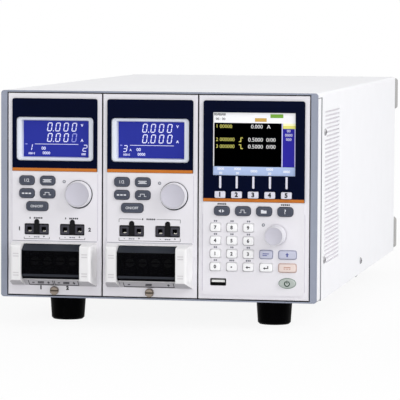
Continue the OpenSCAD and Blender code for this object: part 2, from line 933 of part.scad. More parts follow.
module module_holes() {
    lcd_edge = 1.6;
    for (i = [1:4]) translate(module_key(i)) key_hole(key_w, key_h, dark_key_r);
    translate([key_x, wide_z]) key_hole(wide_key_w, key_h, dark_key_r);
    knob_hole(dial_x, row_1, dial_d);
    for (s = [-1, 1]) translate([s * sense_x, sense_z]) slab(-panel_t - 1, field_up + 1) sense_outline(tiny);
    translate([0, lock_z, -panel_t - 1]) cylinder(h = panel_t + 2, d = lock_hole_d);
    translate([0, window_low + lcd_rise]) slab(-panel_t - 1, 1)
        square([lcd_w + lcd_edge, lcd_h + lcd_edge], center = true);
}

// Outline of a sense socket, grown by the given gap
module sense_outline(gap) {
    rounded(sense_w + 2 * gap, sense_h + 2 * gap, 0.8 + gap);
    box_2d([-latch_w / 2 - gap, 0], [latch_w / 2 + gap, sense_h / 2 + latch_h - latch_w / 2]);
    translate([0, sense_h / 2 + latch_h - latch_w / 2]) circle(latch_w / 2 + gap);
}

// Sloped block that carries the smoked cover between two grip ears
module terminal_housing() {
    side = [[0, housing_low], [ear_out, ear_low], [ear_out, ear_top], [0, housing_top]];
    tip = field_half - ear_draft;
    plan = [[-field_half, -1], [field_half, -1], [field_half, 0],
            [tip, ear_out], [-tip, ear_out], [-field_half, 0]];
    intersection() {
        across(2 * field_half + 2) polygon(soften(side, [0, ear_r, ear_r, 0]));
        translate([0, (housing_low + housing_top) / 2, 0]) upright(housing_h + 2)
            polygon(soften(plan, [0, 0, 0, ear_r, ear_r, 0]));
    }
}

module terminal_pocket() {
    low = shield_low - shield_fit;
    high = shield_top + shield_fit;
    translate([0, 0, lip_out])
        box_3d([-pocket_half, housing_low - 1, 0], [pocket_half, housing_top + 1, ear_out]);
    box_3d([-pocket_half, low, -panel_t - 1], [pocket_half, high, lip_out + 1]);
    across(2 * pocket_half) polygon([[0, housing_low], [lip_out, lip_low], [lip_out + 1, lip_low],
                                     [lip_out + 1, housing_low - 1], [0, housing_low - 1]]);
    for (s = [-1, 1]) {
        translate([s * pocket_half, hinge_z, hinge_out]) rotate([0, s * 90, 0])
            translate([0, 0, -1]) cylinder(h = pin_len + 1.4, d = pin_d + 2 * pin_fit);
    }
}

// Upright oval hollow in the outer side of an ear for a fingertip
module grip_scoop(s) {
    bulge = 10;
    depth = 3;
    half_h = 25;
    arc_r = (half_h * half_h + bulge * bulge) / (2 * bulge);
    out = ear_out * 0.48;
    face = field_half - ear_draft * 0.48;
    translate([s * (face + bulge - depth), (ear_low + ear_top) / 2, out]) rotate([90, 0, 0]) rotate_extrude()
        intersection() {
            translate([bulge - arc_r, 0]) circle(arc_r);
            translate([0, -half_h]) square([bulge, 2 * half_h]);
        }
}

// Shallow ribs on the front of an ear
module grip_grooves(s) {
    groove = 0.9;
    depth = 0.4;
    step = 2.2;
    inner = pocket_half + 1.6;
    outer = field_half - ear_draft - ear_r;
    for (z = [ear_low + 5, ear_low + 5 + step, ear_top - 7 - step, ear_top - 7]) {
        translate([s * (inner + outer) / 2, z, ear_out])
            cube([outer - inner, groove, 2 * depth], center = true);
    }
}

module module_display(cx) {
    lcd_edge = 1;
    color([0.03, 0.04, 0.15]) front(cx) {
        difference() {
            window_plate(field_half, window_low, window_top);
            translate([0, window_low + lcd_rise]) slab(-1, window_t + 1) rounded(lcd_w, lcd_h, 3);
        }
        translate([0, window_low + lcd_rise]) difference() {
            slab(display_back, -tiny) square([lcd_w + lcd_edge, lcd_h + lcd_edge], center = true);
            slab(-tiny - glass_depth, 1) square([glass_w, glass_h], center = true);
        }
    }
}

// Tray, board, heat sink with fins, fan box and rear plug
module load_unit(cx) {
    color([0.72, 0.73, 0.75]) front(cx) {
        unit_tray();
        module_board();
        heat_sink();
        power_board();
        fan_box();
        rear_plug();
    }
}

module unit_tray() {
    cut_l = 96;
    cut_h = 31;
    cut_low = 36;
    cut_rise = 44;
    cuts = 4;
    bridge = 12;
    step = unit_len / (cuts + 0.4);
    fan_d = 74;
    difference() {
        translate([-unit_half, unit_low, unit_back]) cube([2 * unit_half, unit_h, unit_len]);
        box_3d([-unit_half + sheet, unit_low + sheet, unit_back + sheet],
               [unit_half - sheet, unit_low + unit_h + 1, 0]);
        for (i = [0:cuts - 1], k = [0, 1]) {
            translate([0, unit_low + cut_low + k * cut_rise, -panel_t - step * (i + 0.7)])
                cube([2 * unit_half + 2, cut_h, min(cut_l, step - bridge)], center = true);
        }
        translate([0, fan_z, unit_back - 1]) cylinder(h = sheet + 2, d = fan_d);
    }
}

module module_board() {
    low = board_low(module_w) - 5;
    slab(board_out - board_t, board_out) box_2d([-unit_half + sheet + fit, low],
                                                [unit_half - sheet - fit, panel_high - 3]);
}

module heat_sink() {
    fins = 12;
    fin_t = 1.6;
    base_w = 9;
    half = unit_half - sheet - 2;
    step = (sink_h - fin_t) / (fins - 1);
    slab(sink_end, sink_start) {
        for (s = [-1, 1]) translate([s * (half - base_w / 2), sink_low + sink_h / 2])
            square([base_w, sink_h], center = true);
        for (i = [0:fins - 1]) box_2d([-half, sink_low + i * step], [half, sink_low + i * step + fin_t]);
    }
}

module power_board() {
    low = sink_low + sink_h + tiny;
    half = unit_half - sheet - 3;
    cap_d = 16;
    cap_h = 24;
    cap_x = 18;
    cap_start = 30;
    cap_pitch = 28;
    relay = 22;
    box_3d([-half, low, sink_end], [half, low + board_t, sink_start]);
    for (i = [0:3], s = [-1, 1]) {
        translate([s * cap_x, low, sink_start - cap_start - i * cap_pitch]) rotate([-90, 0, 0])
            cylinder(h = cap_h + board_t, d = cap_d);
    }
    for (i = [0:2]) {
        translate([-relay, low, sink_end + 20 + i * 40]) cube([2 * relay, relay + board_t, relay]);
    }
}

module fan_box() {
    fan = 78;
    fan_hole = 72;
    fan_t = 25;
    hub = 32;
    arm = 4;
    low = unit_back + sheet + tiny;
    translate([0, fan_z, 0]) {
        difference() {
            slab(low, low + fan_t) rounded(min(fan, 2 * unit_half - 2 * sheet - 1), fan, 4);
            slab(low - 1, low + fan_t + 1) circle(d = fan_hole);
        }
        slab(low + 6, low + fan_t - 4) circle(d = hub);
        for (a = [45, 135]) rotate([0, 0, a]) slab(low + 6, low + 9)
            square([fan_hole + 1, arm], center = true);
    }
}

module rear_plug() {
    gap_end = front_y - (rear_in - board_gap - board_t - header_d) + fit;
    slab(gap_end, unit_back) translate([0, board_mid]) square([header_w, header_h], center = true);
}

// Terminal block with barriers and four screw terminals, and the two sense sockets
module terminals(cx) {
    color([0.07, 0.07, 0.08]) front(cx) {
        terminal_block();
        for (s = [-1, 1]) translate([s * sense_x, sense_z]) sense_socket();
    }
}

module terminal_block() {
    low = shield_low - shield_fit + fit;
    high = shield_top + shield_fit - fit;
    half = pocket_half - fit;
    mid = (low + high) / 2;
    head_t = 2.6;
    slot = 1.2;
    slab(-block_back, block_out) box_2d([-half, low], [half, high]);
    for (i = [-2:2]) {
        translate([i * term_pitch, 0, 0]) slab(block_out, barrier_out)
            box_2d([-barrier_t / 2, low + 2], [barrier_t / 2, high - 4]);
    }
    for (i = [-1.5:1.5]) translate([i * term_pitch, mid, block_out]) difference() {
        cylinder(h = head_t, d = term_d);
        translate([0, 0, head_t]) cube([term_d + 1, slot, 2 * slot], center = true);
    }
}

module sense_socket() {
    back = -10;
    hole_back = -8;
    hole_x = sense_w * 0.3;
    latch_deep = 1.4;
    difference() {
        slab(back, field_up + tiny) sense_outline(0);
        for (s = [-1, 1]) translate([s * hole_x, 0, hole_back])
            cylinder(h = field_up - hole_back + 1, d = sense_hole_d);
        translate([0, 0, field_up + tiny - latch_deep])
            box_3d([-latch_w / 4, -sense_h / 4, 0],
                   [latch_w / 4, sense_h / 2 + latch_h - latch_w, latch_deep + 1]);
    }
}

// Smoked cover that swings up about two pins in the ears, open below for the wires
module terminal_cover(cx) {
    t = shield_t;
    back = lip_out;
    outer = [[back, shield_low], [foot_out, shield_low], [shield_out, shield_foot],
             [shield_out, shield_brow], [back, shield_top]];
    inner = [[back - 1, shield_low - 1], [foot_out - t * 1.7, shield_low - 1],
             [shield_out - t, shield_foot + t * 0.3], [shield_out - t, shield_brow - t * 0.6],
             [back - 1, shield_top - t * 0.8]];
    soft = 1.6;
    color([0.05, 0.05, 0.06]) front(cx) {
        difference() {
            across(shield_w) polygon(soften(outer, [0, soft / 2, soft, soft, 0]));
            across(shield_w - 2 * t) polygon(soften(inner, [0, 0, soft / 2, soft / 2, 0]));
        }
        for (s = [-1, 1]) translate([s * (shield_w / 2 - 0.4), hinge_z, hinge_out]) rotate([0, s * 90, 0])
            cylinder(h = pin_len + 0.4, d = pin_d);
    }
}

// Captive slotted screw that holds the module in its bay
module lock_screw(cx) {
    head_t = 3.2;
    slot = 1.3;
    slot_deep = 1.2;
    shank_d = 4;
    bevel = 0.6;
    r = lock_d / 2;
    color([0.75, 0.74, 0.7]) front(cx, lock_z) difference() {
        union() {
            rotate_extrude() polygon([[0, 0], [r, 0], [r, head_t - bevel], [r - bevel, head_t], [0, head_t]]);
            translate([0, 0, rail_out - rail_t - 2]) cylinder(h = -rail_out + rail_t + 2.5, d = shank_d);
        }
        translate([0, 0, head_t]) cube([lock_d + 1, slot, 2 * slot_deep], center = true);
    }
}

module module_key_cap(cx, i) {
    color([0.27, 0.29, 0.34]) front(cx + module_key(i)[0], module_key(i)[1])
        key_cap(key_w, key_h, field_up, dark_key_r);
}

module wide_key(cx) {
    color([0.27, 0.29, 0.34]) front(cx + key_x, wide_z) key_cap(wide_key_w, key_h, field_up, dark_key_r);
}

chassis();
top_cover();
front_frame();
corner_guards();
feet();
circuit_boards();
sockets();
control_panel();
control_display();
control_knob();
module_panel(left_x);  // left_panel
module_panel(right_x);  // right_panel
module_display(left_x);  // left_display
module_display(right_x);  // right_display
load_unit(left_x);  // left_load_unit
load_unit(right_x);  // right_load_unit
terminals(left_x);  // left_terminals
terminals(right_x);  // right_terminals
terminal_cover(left_x);  // left_terminal_cover
terminal_cover(right_x);  // right_terminal_cover
lock_screw(left_x);  // left_lock_screw
lock_screw(right_x);  // right_lock_screw
dial(left_x);  // left_dial
dial(right_x);  // right_dial
wide_key(left_x);  // left_wide_key
wide_key(right_x);  // right_wide_key
for (i = [1:4]) module_key_cap(left_x, i);
for (i = [1:4]) module_key_cap(right_x, i);
for (i = [1:5]) soft_key(i);
for (i = [1:4]) menu_key(i);
for (d = digits) pad_key(digit_place(d));
pad_key(pad_place(1, 0));  // point_key
pad_key(pad_place(2, 0));  // clear_key
side_key(enter_x, 1, enter_w, pale_blue);  // preset_key
side_key(last_x, 1, last_w, pale_blue);  // shift_key
side_key(enter_x, 0, enter_w, pale_white);  // enter_key
side_key(last_x, 0, last_w, pale_pink);  // load_key
power_key();
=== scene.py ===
"""Looks of a two-slot bench dc electronic load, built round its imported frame.

Sizes on the front are in millimetres: x across, z up from the underside of the body, out towards the user.
"""

import math

import bmesh
import bpy
from bpy.props import FloatProperty, FloatVectorProperty, PointerProperty
from bpy.types import NodeSocket, Operator, Panel, PropertyGroup
from mathutils import Matrix, Vector


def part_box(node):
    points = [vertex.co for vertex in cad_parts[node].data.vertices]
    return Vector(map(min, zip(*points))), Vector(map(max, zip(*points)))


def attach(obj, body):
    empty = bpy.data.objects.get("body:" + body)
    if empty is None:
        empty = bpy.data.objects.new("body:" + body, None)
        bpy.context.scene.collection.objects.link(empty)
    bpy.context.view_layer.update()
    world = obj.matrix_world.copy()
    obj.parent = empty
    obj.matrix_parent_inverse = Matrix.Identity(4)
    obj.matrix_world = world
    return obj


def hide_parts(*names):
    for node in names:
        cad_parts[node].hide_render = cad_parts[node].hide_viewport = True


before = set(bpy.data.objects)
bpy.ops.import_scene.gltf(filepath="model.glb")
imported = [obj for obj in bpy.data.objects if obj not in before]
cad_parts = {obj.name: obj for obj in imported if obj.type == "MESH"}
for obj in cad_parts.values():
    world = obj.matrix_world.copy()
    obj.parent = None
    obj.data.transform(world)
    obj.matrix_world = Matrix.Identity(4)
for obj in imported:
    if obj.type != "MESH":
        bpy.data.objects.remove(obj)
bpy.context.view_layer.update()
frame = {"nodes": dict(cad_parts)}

bl_info = {
    "name": "Bench load looks",
    "version": (1, 0, 0),
    "blender": (4, 5, 0),
    "location": "View3D > Sidebar > Bench load",
    "description": "Dresses the packed frame of a two-slot dc electronic load",
    "category": "Object",
}

MM = 0.001
NODES = frame["nodes"]
SIDES = ("left", "right")
BOTH = (-1, 1)
OUTWARD = (0, -1, 0)
FRAME_LOW, FRAME_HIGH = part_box("front_frame")
FRONT_Y = FRAME_LOW.y
UNDERSIDE = FRAME_LOW.z

# Reach of the raised panel fields and of the windows, height of a print and how deep it is let in
FIELD_OUT = 1.2
WINDOW_OUT = 1.4
INK = 0.06
SUNK = 0.3
FIELD_PRINT = (FIELD_OUT - SUNK, FIELD_OUT + INK)
PANEL_PRINT = (-SUNK, INK)

# Share of a normal along an axis: a face that looks straight along it, slantwise, or across it
STRAIGHT, SLANT, ACROSS = 0.9, 0.5, 0.1


def middle_x(node):
    """Middle of a node across the front, in millimetres."""
    low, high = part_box(node)
    return (low.x + high.x) / 2 / MM


def node_front(node):
    """Left, right, lower and upper edge of a node on the front, in millimetres."""
    low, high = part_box(node)
    return low.x / MM, high.x / MM, (low.z - UNDERSIDE) / MM, (high.z - UNDERSIDE) / MM


def node_reach(node):
    """Back and top of a node, as reach in front of the frame in millimetres."""
    low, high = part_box(node)
    return (FRONT_Y - high.y) / MM, (FRONT_Y - low.y) / MM


MODULE_X = {side: middle_x(side + "_panel") for side in SIDES}
CONTROL_X = middle_x("control_panel")


# Values that a user would change


def linear(red, green, blue):
    """Scene colour of a colour that is written as 0 to 255."""
    return tuple(
        c / 12.92 if c <= 0.04045 else ((c + 0.055) / 1.055) ** 2.4
        for c in (red / 255, green / 255, blue / 255)
    )


def colour(name, description, red, green, blue):
    """A colour property with its default."""
    return FloatVectorProperty(
        name=name, description=description, subtype="COLOR", size=3, min=0, max=1,
        default=linear(red, green, blue),
    )


def length(name, description, millimetres):
    """A length property with its default."""
    return FloatProperty(
        name=name, description=description, unit="LENGTH", min=0, default=millimetres * MM
    )


def rotation(name, description, radians):
    """An angle property with its default."""
    return FloatProperty(name=name, description=description, unit="ROTATION", default=radians)


def power(name, description, watts):
    """A lamp power property with its default."""
    return FloatProperty(name=name, description=description, unit="POWER", default=watts)


class BenchLoadColours(PropertyGroup):
    """Colours of the finishes."""

    cover: colour("Cover", "Paint of the cover and the chassis", 246, 246, 249)
    frame: colour("Frame", "Paint of the front frame", 152, 158, 174)
    guard: colour("Guards", "Plastic of the rear corner guards", 172, 171, 170)
    rubber: colour("Feet", "Rubber of the feet", 1, 1, 2)
    panel: colour("Panels", "Plastic of the three front panels", 234, 232, 237)
    grip: colour("Grips", "White plastic of the finger grips", 238, 237, 238)
    window: colour("Windows", "Navy of the display windows", 2, 8, 36)
    stripe: colour("Stripe", "Orange stripe under the windows", 200, 118, 48)
    bezel: colour("Bezel", "Silver bezel of the module displays", 226, 231, 242)
    backlight: colour("Backlight", "Blue backlight of the module displays", 38, 46, 140)
    segment: colour("Segments", "Lit segments of the module displays", 216, 218, 246)
    dark_key: colour("Dark keys", "Keys of the modules and the menu row", 76, 80, 93)
    number_key: colour("Number keys", "Keys of the number pad", 250, 250, 251)
    soft_key: colour("Soft keys", "Keys under the screen", 222, 221, 234)
    blue_key: colour("Blue keys", "Preset and shift keys", 198, 200, 218)
    pink_key: colour("Pink key", "Load key", 234, 217, 210)
    green_key: colour("Green key", "Power key", 181, 189, 184)
    knob: colour("Knobs", "Sides of the dials and the knob", 226, 225, 231)
    # Painted shade: a darker copy of the knob colour for the faces.
    knob_face: colour("Knob faces", "Faces of the dials and the knob", 202, 200, 211)
    smoke: colour("Smoked cover", "Plastic of the terminal covers", 4, 4, 7)
    socket: colour("Sockets", "Black plastic of sockets and blocks", 16, 16, 19)
    nickel: colour("Nickel", "Plated screws and contacts", 200, 196, 186)
    bronze: colour("Bronze", "Lock screws of the modules", 132, 121, 111)
    steel: colour("Steel", "Sheet metal inside", 196, 198, 202)
    aluminium: colour("Aluminium", "Fins of the heat sinks", 182, 184, 188)
    board: colour("Boards", "Solder mask of the circuit boards", 26, 92, 52)
    mesh: colour("Vent screens", "Screens behind the vent slots", 225, 221, 226)


class BenchLoadSizes(PropertyGroup):
    """Sizes of the small forms."""

    key_edge: length("Key edge", "Radius of the upper edge of a key", 0.55)
    dark_corner: length("Dark key corner", "Corner radius of a dark key", 2.9)
    pale_corner: length("Pale key corner", "Corner radius of a pale key", 1.7)
    key_slim: length("Pale key gap", "Extra gap round a pale key", 0.25)
    stripe_h: length("Stripe", "Height of the orange stripe", 2.7)
    line_w: length("Printed line", "Width of a printed line", 0.35)
    screw_d: length("Cover screw", "Head diameter of a cover screw", 6.2)


class BenchLoadStage(PropertyGroup):
    """Camera and light."""

    place: FloatVectorProperty(
        name="Camera", description="Place of the camera", subtype="TRANSLATION", unit="LENGTH",
        size=3, default=(0.4889, -2.6931, 0.2797),
    )
    yaw: rotation("Yaw", "Turn of the camera to the side", 0.1847)
    pitch: rotation("Pitch", "Look of the camera downwards", 0.069)
    roll: rotation("Roll", "Tilt of the camera", 0.0054)
    lens: FloatProperty(name="Lens", description="Focal length", unit="CAMERA", default=264.06)
    key_power: power("Key light", "Power of the key light", 61)
    front_power: power("Front light", "Power of the front light", 30)
    top_power: power("Top light", "Power of the top light", 14)
    sky: FloatProperty(name="Sky", description="Level of the light from all round", default=0.44)


# Finishes


GRAIN_DEPTH = 0.0002
GLOSS_SPREAD = 0.15
SCREEN_COLOURS = {
    "black": (3, 4, 7), "white": (244, 244, 246), "blue": (44, 39, 152), "sky": (172, 190, 226),
    "yellow": (226, 222, 120), "green": (118, 166, 66), "amber": (200, 162, 84), "lavender": (196, 196, 240),
    "cream": (246, 244, 200),
}
# The rim ink is painted highlight on dark key edges; the shade ink is painted shade round the dials and
# painted highlight on the smoked covers; the pale ink is painted shade along the raised fields.
INK_COLOURS = {
    "white": (224, 226, 232), "dark": (30, 31, 38), "grey": (118, 120, 130), "blue": (92, 98, 158),
    "green": (34, 60, 46), "red": (186, 128, 108), "rim": (98, 103, 116), "leaf": (132, 156, 142),
    "shade": (44, 47, 54), "violet": (146, 150, 176), "coral": (198, 160, 147), "pale": (202, 198, 208),
}


def feed(tree, node, inputs):
    """Fills inputs of a node: an output of another node is linked, anything else is set."""
    for name, value in inputs.items():
        if isinstance(value, NodeSocket):
            tree.links.new(value, node.inputs[name])
        else:
            node.inputs[name].default_value = value


def add_node(tree, kind, inputs=None, operation=None):
    """Adds a node with its operation, where it has one, and its inputs."""
    node = tree.nodes.new("ShaderNode" + kind)
    if operation:
        node.operation = operation
    feed(tree, node, inputs or {})
    return node


def finish(name, rgb, rough, metal=0.0, tone=0.05, cloud=45.0, grain=1400.0, bump=0.08, gleam=0.5,
           glow=0.0, see_through=0.0, stretch=(1, 1, 1)):
    """A procedural finish: clouded colour, uneven gloss and a fine grain."""
    material = bpy.data.materials.new(name)
    material.use_nodes = True
    tree = material.node_tree
    coords = add_node(tree, "TexCoord").outputs["Object"]
    place = add_node(tree, "Mapping", {"Vector": coords, "Scale": stretch}).outputs["Vector"]
    clouds = add_node(tree, "TexNoise", {"Vector": place, "Scale": cloud, "Detail": 4.0}).outputs["Fac"]
    ramp = add_node(tree, "ValToRGB", {"Fac": clouds})
    for element, position, level in zip(ramp.color_ramp.elements, (0.3, 0.7), (1 - tone, 1 + tone)):
        element.position = position
        element.color = (*[min(c * level, 1) for c in rgb], 1)
    gloss = add_node(tree, "MapRange", {
        "Value": clouds, "To Min": rough * (1 - GLOSS_SPREAD), "To Max": min(rough * (1 + GLOSS_SPREAD), 1.0),
    })
    grains = add_node(tree, "TexNoise", {"Vector": place, "Scale": grain, "Detail": 2.0}).outputs["Fac"]
    relief = add_node(tree, "Bump", {"Height": grains, "Strength": bump, "Distance": GRAIN_DEPTH})
    look = {
        "Base Color": ramp.outputs["Color"], "Roughness": gloss.outputs["Result"],
        "Normal": relief.outputs["Normal"], "Metallic": metal, "Specular IOR Level": gleam,
        "Alpha": 1 - see_through,
    }
    if glow:
        look["Emission Color"] = ramp.outputs["Color"]
        look["Emission Strength"] = glow
    feed(tree, tree.nodes["Principled BSDF"], look)


class BENCHLOAD_OT_finishes(Operator):
    """Make the finishes of all pieces"""

    bl_idname = "benchload.finishes"
    bl_label = "Finishes"

    def execute(self, context):
        tint = context.scene.benchload_colours
        self.shell(tint)
        self.displays(tint)
        self.controls(tint)
        self.terminals(tint)
        self.metals(tint)
        self.inside(tint)
        return {"FINISHED"}

    def shell(self, tint):
        """Paint and plastic of the body, the panels and the windows."""
        finish("cover_paint", tint.cover, 0.45, tone=0.012, bump=0.10, grain=1800, gleam=0.3)
        finish("frame_paint", tint.frame, 0.42, tone=0.03, bump=0.10, grain=1800, gleam=0.2)
        finish("guard_plastic", tint.guard, 0.55, tone=0.04, bump=0.16, grain=1200, gleam=0.3)
        finish("foot_rubber", tint.rubber, 0.45, tone=0.25, bump=0.2, grain=900, gleam=0.02)
        finish("panel_plastic", tint.panel, 0.5, tone=0.012, grain=2000, gleam=0.3)
        finish("grip_plastic", tint.grip, 0.5, tone=0.012, grain=2000, gleam=0.3)
        # Painted shade: undersides and groove floors of the ears get darker copies of the grip plastic.
        finish("lip_shade", linear(184, 182, 186), 0.55, tone=0.02, grain=2000, gleam=0.2)
        finish("groove_shade", linear(217, 215, 217), 0.55, tone=0.02, grain=2000, gleam=0.2)
        # Painted shade: the dark that stands for shade in gaps, screw recesses and terminal slots.
        finish("gap_black", linear(30, 31, 36), 0.7, tone=0.1, bump=0.05, gleam=0.05)
        # Painted shade of the seam line.
        finish("seam_grey", linear(122, 123, 129), 0.6, tone=0.06, bump=0.05, gleam=0.1)
        finish("vent_screen", tint.mesh, 0.6, tone=0.03, cloud=300, bump=0.4, grain=700, gleam=0.1)

    def displays(self, tint):
        """Windows, displays and the colours of the screen."""
        finish("window_gloss", tint.window, 0.2, tone=0.10, bump=0.01, gleam=0.02)
        finish("stripe_ink", tint.stripe, 0.5, bump=0.03, gleam=0.1)
        finish("bezel_silver", tint.bezel, 0.4, tone=0.03, bump=0.04, gleam=0.3)
        finish("lcd_backlight", tint.backlight, 0.3, tone=0.06, cloud=25, bump=0.01, gleam=0.05, glow=0.3)
        finish("lcd_segment", tint.segment, 0.4, tone=0.03, bump=0.01, gleam=0.05, glow=0.3)
        finish("lcd_faint", linear(146, 150, 220), 0.4, tone=0.03, bump=0.01, gleam=0.05, glow=0.15)
        for name, rgb in SCREEN_COLOURS.items():
            finish("screen_" + name, linear(*rgb), 0.4, tone=0.03, cloud=300, bump=0.01, gleam=0.04,
                   glow=0.12)

    def controls(self, tint):
        """Keys, knobs, lamps and the inks of the print."""
        finish("dark_key", tint.dark_key, 0.5, bump=0.12, grain=2200, gleam=0.12)
        for name in ("number_key", "soft_key", "blue_key", "pink_key", "green_key"):
            finish(name, getattr(tint, name), 0.45, tone=0.015, grain=2200, gleam=0.25)
        for name, rgb in INK_COLOURS.items():
            finish(name + "_ink", linear(*rgb), 0.5, tone=0.06, cloud=400, bump=0.03, gleam=0.1)
        finish("knob_plastic", tint.knob, 0.42, tone=0.012, bump=0.06, grain=2000, gleam=0.3)
        # Painted shade: the faces of the dials and the knob are a darker copy of their sides.
        finish("knob_face", tint.knob_face, 0.5, tone=0.015, bump=0.06, grain=2000, gleam=0.2)
        finish("lamp_lens", linear(196, 199, 204), 0.2, tone=0.04, bump=0.01)

    def terminals(self, tint):
        """Smoked covers and sockets."""
        finish("smoked_cover", tint.smoke, 0.18, tone=0.10, bump=0.01, gleam=0.03, see_through=0.22)
        # Painted light: the slanted top of a smoked cover is a lighter copy of the smoke, for the light it
        # catches.
        finish("smoked_top", linear(45, 49, 57), 0.3, tone=0.08, bump=0.01, gleam=0.1)
        finish("socket_plastic", tint.socket, 0.45, tone=0.12, bump=0.12, grain=1500, gleam=0.1)
        finish("socket_rim", linear(60, 59, 68), 0.4, tone=0.08, gleam=0.15)
        finish("white_plastic", linear(240, 240, 238), 0.45, tone=0.02, bump=0.05, gleam=0.2)

    def metals(self, tint):
        """Screws, studs, sheet metal and fins."""
        finish("nickel_plate", tint.nickel, 0.28, metal=1.0, tone=0.08, cloud=300, bump=0.05)
        finish("dark_plate", linear(158, 157, 160), 0.35, metal=0.5, tone=0.08, cloud=300, bump=0.05)
        finish("stud_plate", linear(206, 204, 200), 0.35, metal=0.35, tone=0.06, cloud=300, bump=0.05)
        finish("lock_bronze", tint.bronze, 0.34, metal=0.8, tone=0.12, cloud=400)
        # Painted shade in the slots of the lock screws.
        finish("lock_slot", linear(66, 57, 45), 0.5, metal=0.5, tone=0.12, cloud=400)
        rolled = (1, 0.05, 1)
        finish("sheet_steel", tint.steel, 0.38, metal=1.0, tone=0.06, cloud=30, bump=0.05, stretch=rolled)
        finish("fin_aluminium", tint.aluminium, 0.42, metal=1.0, tone=0.08, cloud=60, stretch=rolled)

    def inside(self, tint):
        """Boards and the parts on them."""
        finish("board_mask", tint.board, 0.35, tone=0.18, cloud=220, bump=0.12, grain=700, gleam=0.3)
        finish("can_blue", linear(34, 44, 92), 0.3, tone=0.06, bump=0.03, gleam=0.3)
        finish("relay_white", linear(226, 226, 220), 0.4, tone=0.03, bump=0.05, gleam=0.3)


# Mesh code


def spot(x, z, out):
    """A point of the front in the frame of the part."""
    return Vector((x * MM, FRONT_Y - out * MM, UNDERSIDE + z * MM))


def arc(r, start, end, steps):
    """Points of an arc round the origin as x and z, with angles in degrees."""
    turns = [math.radians(start + (end - start) * i / steps) for i in range(steps + 1)]
    return [(r * math.cos(a), r * math.sin(a)) for a in turns]


def rounded(w, h, radii, steps=5):
    """A rectangle with round corners, from the upper right one on, as x and z."""
    if not isinstance(radii, tuple):
        radii = (radii,) * 4
    points = []
    for (sx, sz, start), r in zip(((1, 1, 0), (-1, 1, 90), (-1, -1, 180), (1, -1, 270)), radii):
        middle_w, middle_h = sx * (w / 2 - r), sz * (h / 2 - r)
        points += [(middle_w + px, middle_h + pz) for px, pz in arc(r, start, start + 90, steps)]
    return points


def ellipse(w, h, steps=48):
    """An ellipse as x and z."""
    turns = [2 * math.pi * i / steps for i in range(steps)]
    return [(w / 2 * math.cos(a), h / 2 * math.sin(a)) for a in turns]


def ring(outline, x, z, out):
    """The points of an outline on the front."""
    return [spot(x + px, z + pz, out) for px, pz in outline]


def skin(bm, rings, index=0, close=False):
    """A closed solid through rings with the same count of points; close joins the last to the first."""
    loops = [[bm.verts.new(p) for p in points] for points in rings]
    count = len(loops[0])
    faces = []
    pairs = list(zip(loops, loops[1:])) + ([(loops[-1], loops[0])] if close else [])
    for a, b in pairs:
        for i in range(count):
            j = (i + 1) % count
            faces.append(bm.faces.new((a[i], a[j], b[j], b[i])))
    if not close:
        faces.append(bm.faces.new(loops[0]))
        faces.append(bm.faces.new(loops[-1]))
    for face in faces:
        face.material_index = index


def plate(bm, outline, x, z, low, high, index=0):
    """A flat plate between two reaches."""
    skin(bm, [ring(outline, x, z, low), ring(outline, x, z, high)], index)


def bar(bm, x0, z0, x1, z1, low, high, index=0):
    """A rectangular plate between two corners."""
    plate(bm, [(x0, z0), (x1, z0), (x1, z1), (x0, z1)], 0, 0, low, high, index)


def pad(bm, shape, x, z, low, high, edge, crown):
    """A cap with a rounded upper edge and a crowned top; shape gives the outline for an inset."""
    rings = [ring(shape(0), x, z, low)]
    steps = 4
    for i in range(steps + 1):
        a = math.pi / 2 * i / steps
        rings.append(ring(shape(edge * (1 - math.cos(a))), x, z, high - crown - edge * (1 - math.sin(a))))
    rim = shape(edge)
    for share in (0.8, 0.55, 0.3, 0.1):
        rings.append(ring([(px * share, pz * share) for px, pz in rim], x, z, high - crown * share * share))
    skin(bm, rings)


def hoop(bm, outer, inner, x, z, low, high, index=0):
    """A flat ring between two outlines with the same count of points."""
    edges = ((outer, low), (outer, high), (inner, high), (inner, low))
    skin(bm, [ring(outline, x, z, out) for outline, out in edges], index, close=True)


def turned(bm, profile, place, segments, index=0, ribs=0, rib_depth=0.0, ribbed=()):
    """A solid of revolution about its own z; profile is radius and height, ribbed rings are fluted."""
    rings = []
    for k, (r, h) in enumerate(profile):
        points = []
        for i in range(segments):
            a = 2 * math.pi * i / segments
            radius = r - rib_depth * (0.5 - 0.5 * math.cos(ribs * a)) if k in ribbed else r
            points.append(place @ Vector((radius * math.cos(a) * MM, radius * math.sin(a) * MM, h * MM)))
        rings.append(points)
    skin(bm, rings, index)


def facing(point, normal):
    """The place of a turned piece whose axis points along normal."""
    return Matrix.Translation(point) @ Vector(normal).to_track_quat("Z", "Y").to_matrix().to_4x4()


LIT = {"0": "abcdef", "1": "bc", "2": "abged", "3": "abgcd"}


def seven_segment(bm, digit, x, z, w, h, t, low, high, index=1, slant=0.15):
    """A digit of a segment display; x, z is its lower left corner."""
    mid, gap = h / 2, t * 0.12
    lines = {
        "a": (0, h, w, h), "b": (w, h, w, mid), "c": (w, mid, w, 0), "d": (0, 0, w, 0),
        "e": (0, mid, 0, 0), "f": (0, h, 0, mid), "g": (0, mid, w, mid),
    }
    for name in LIT[digit]:
        x0, z0, x1, z1 = lines[name]
        along = Vector((x1 - x0, z1 - z0)).normalized()
        side, step = Vector((-along.y, along.x)) * t / 2, along * t / 2
        a, b = Vector((x0, z0)) + along * gap, Vector((x1, z1)) - along * gap
        outline = [a, a + step - side, b - step - side, b, b - step + side, a + step + side]
        plate(bm, [(p.x + p.y * slant, p.y) for p in outline], x, z, low, high, index)


FONT_SIZE = 1.38
WELD = 1e-7


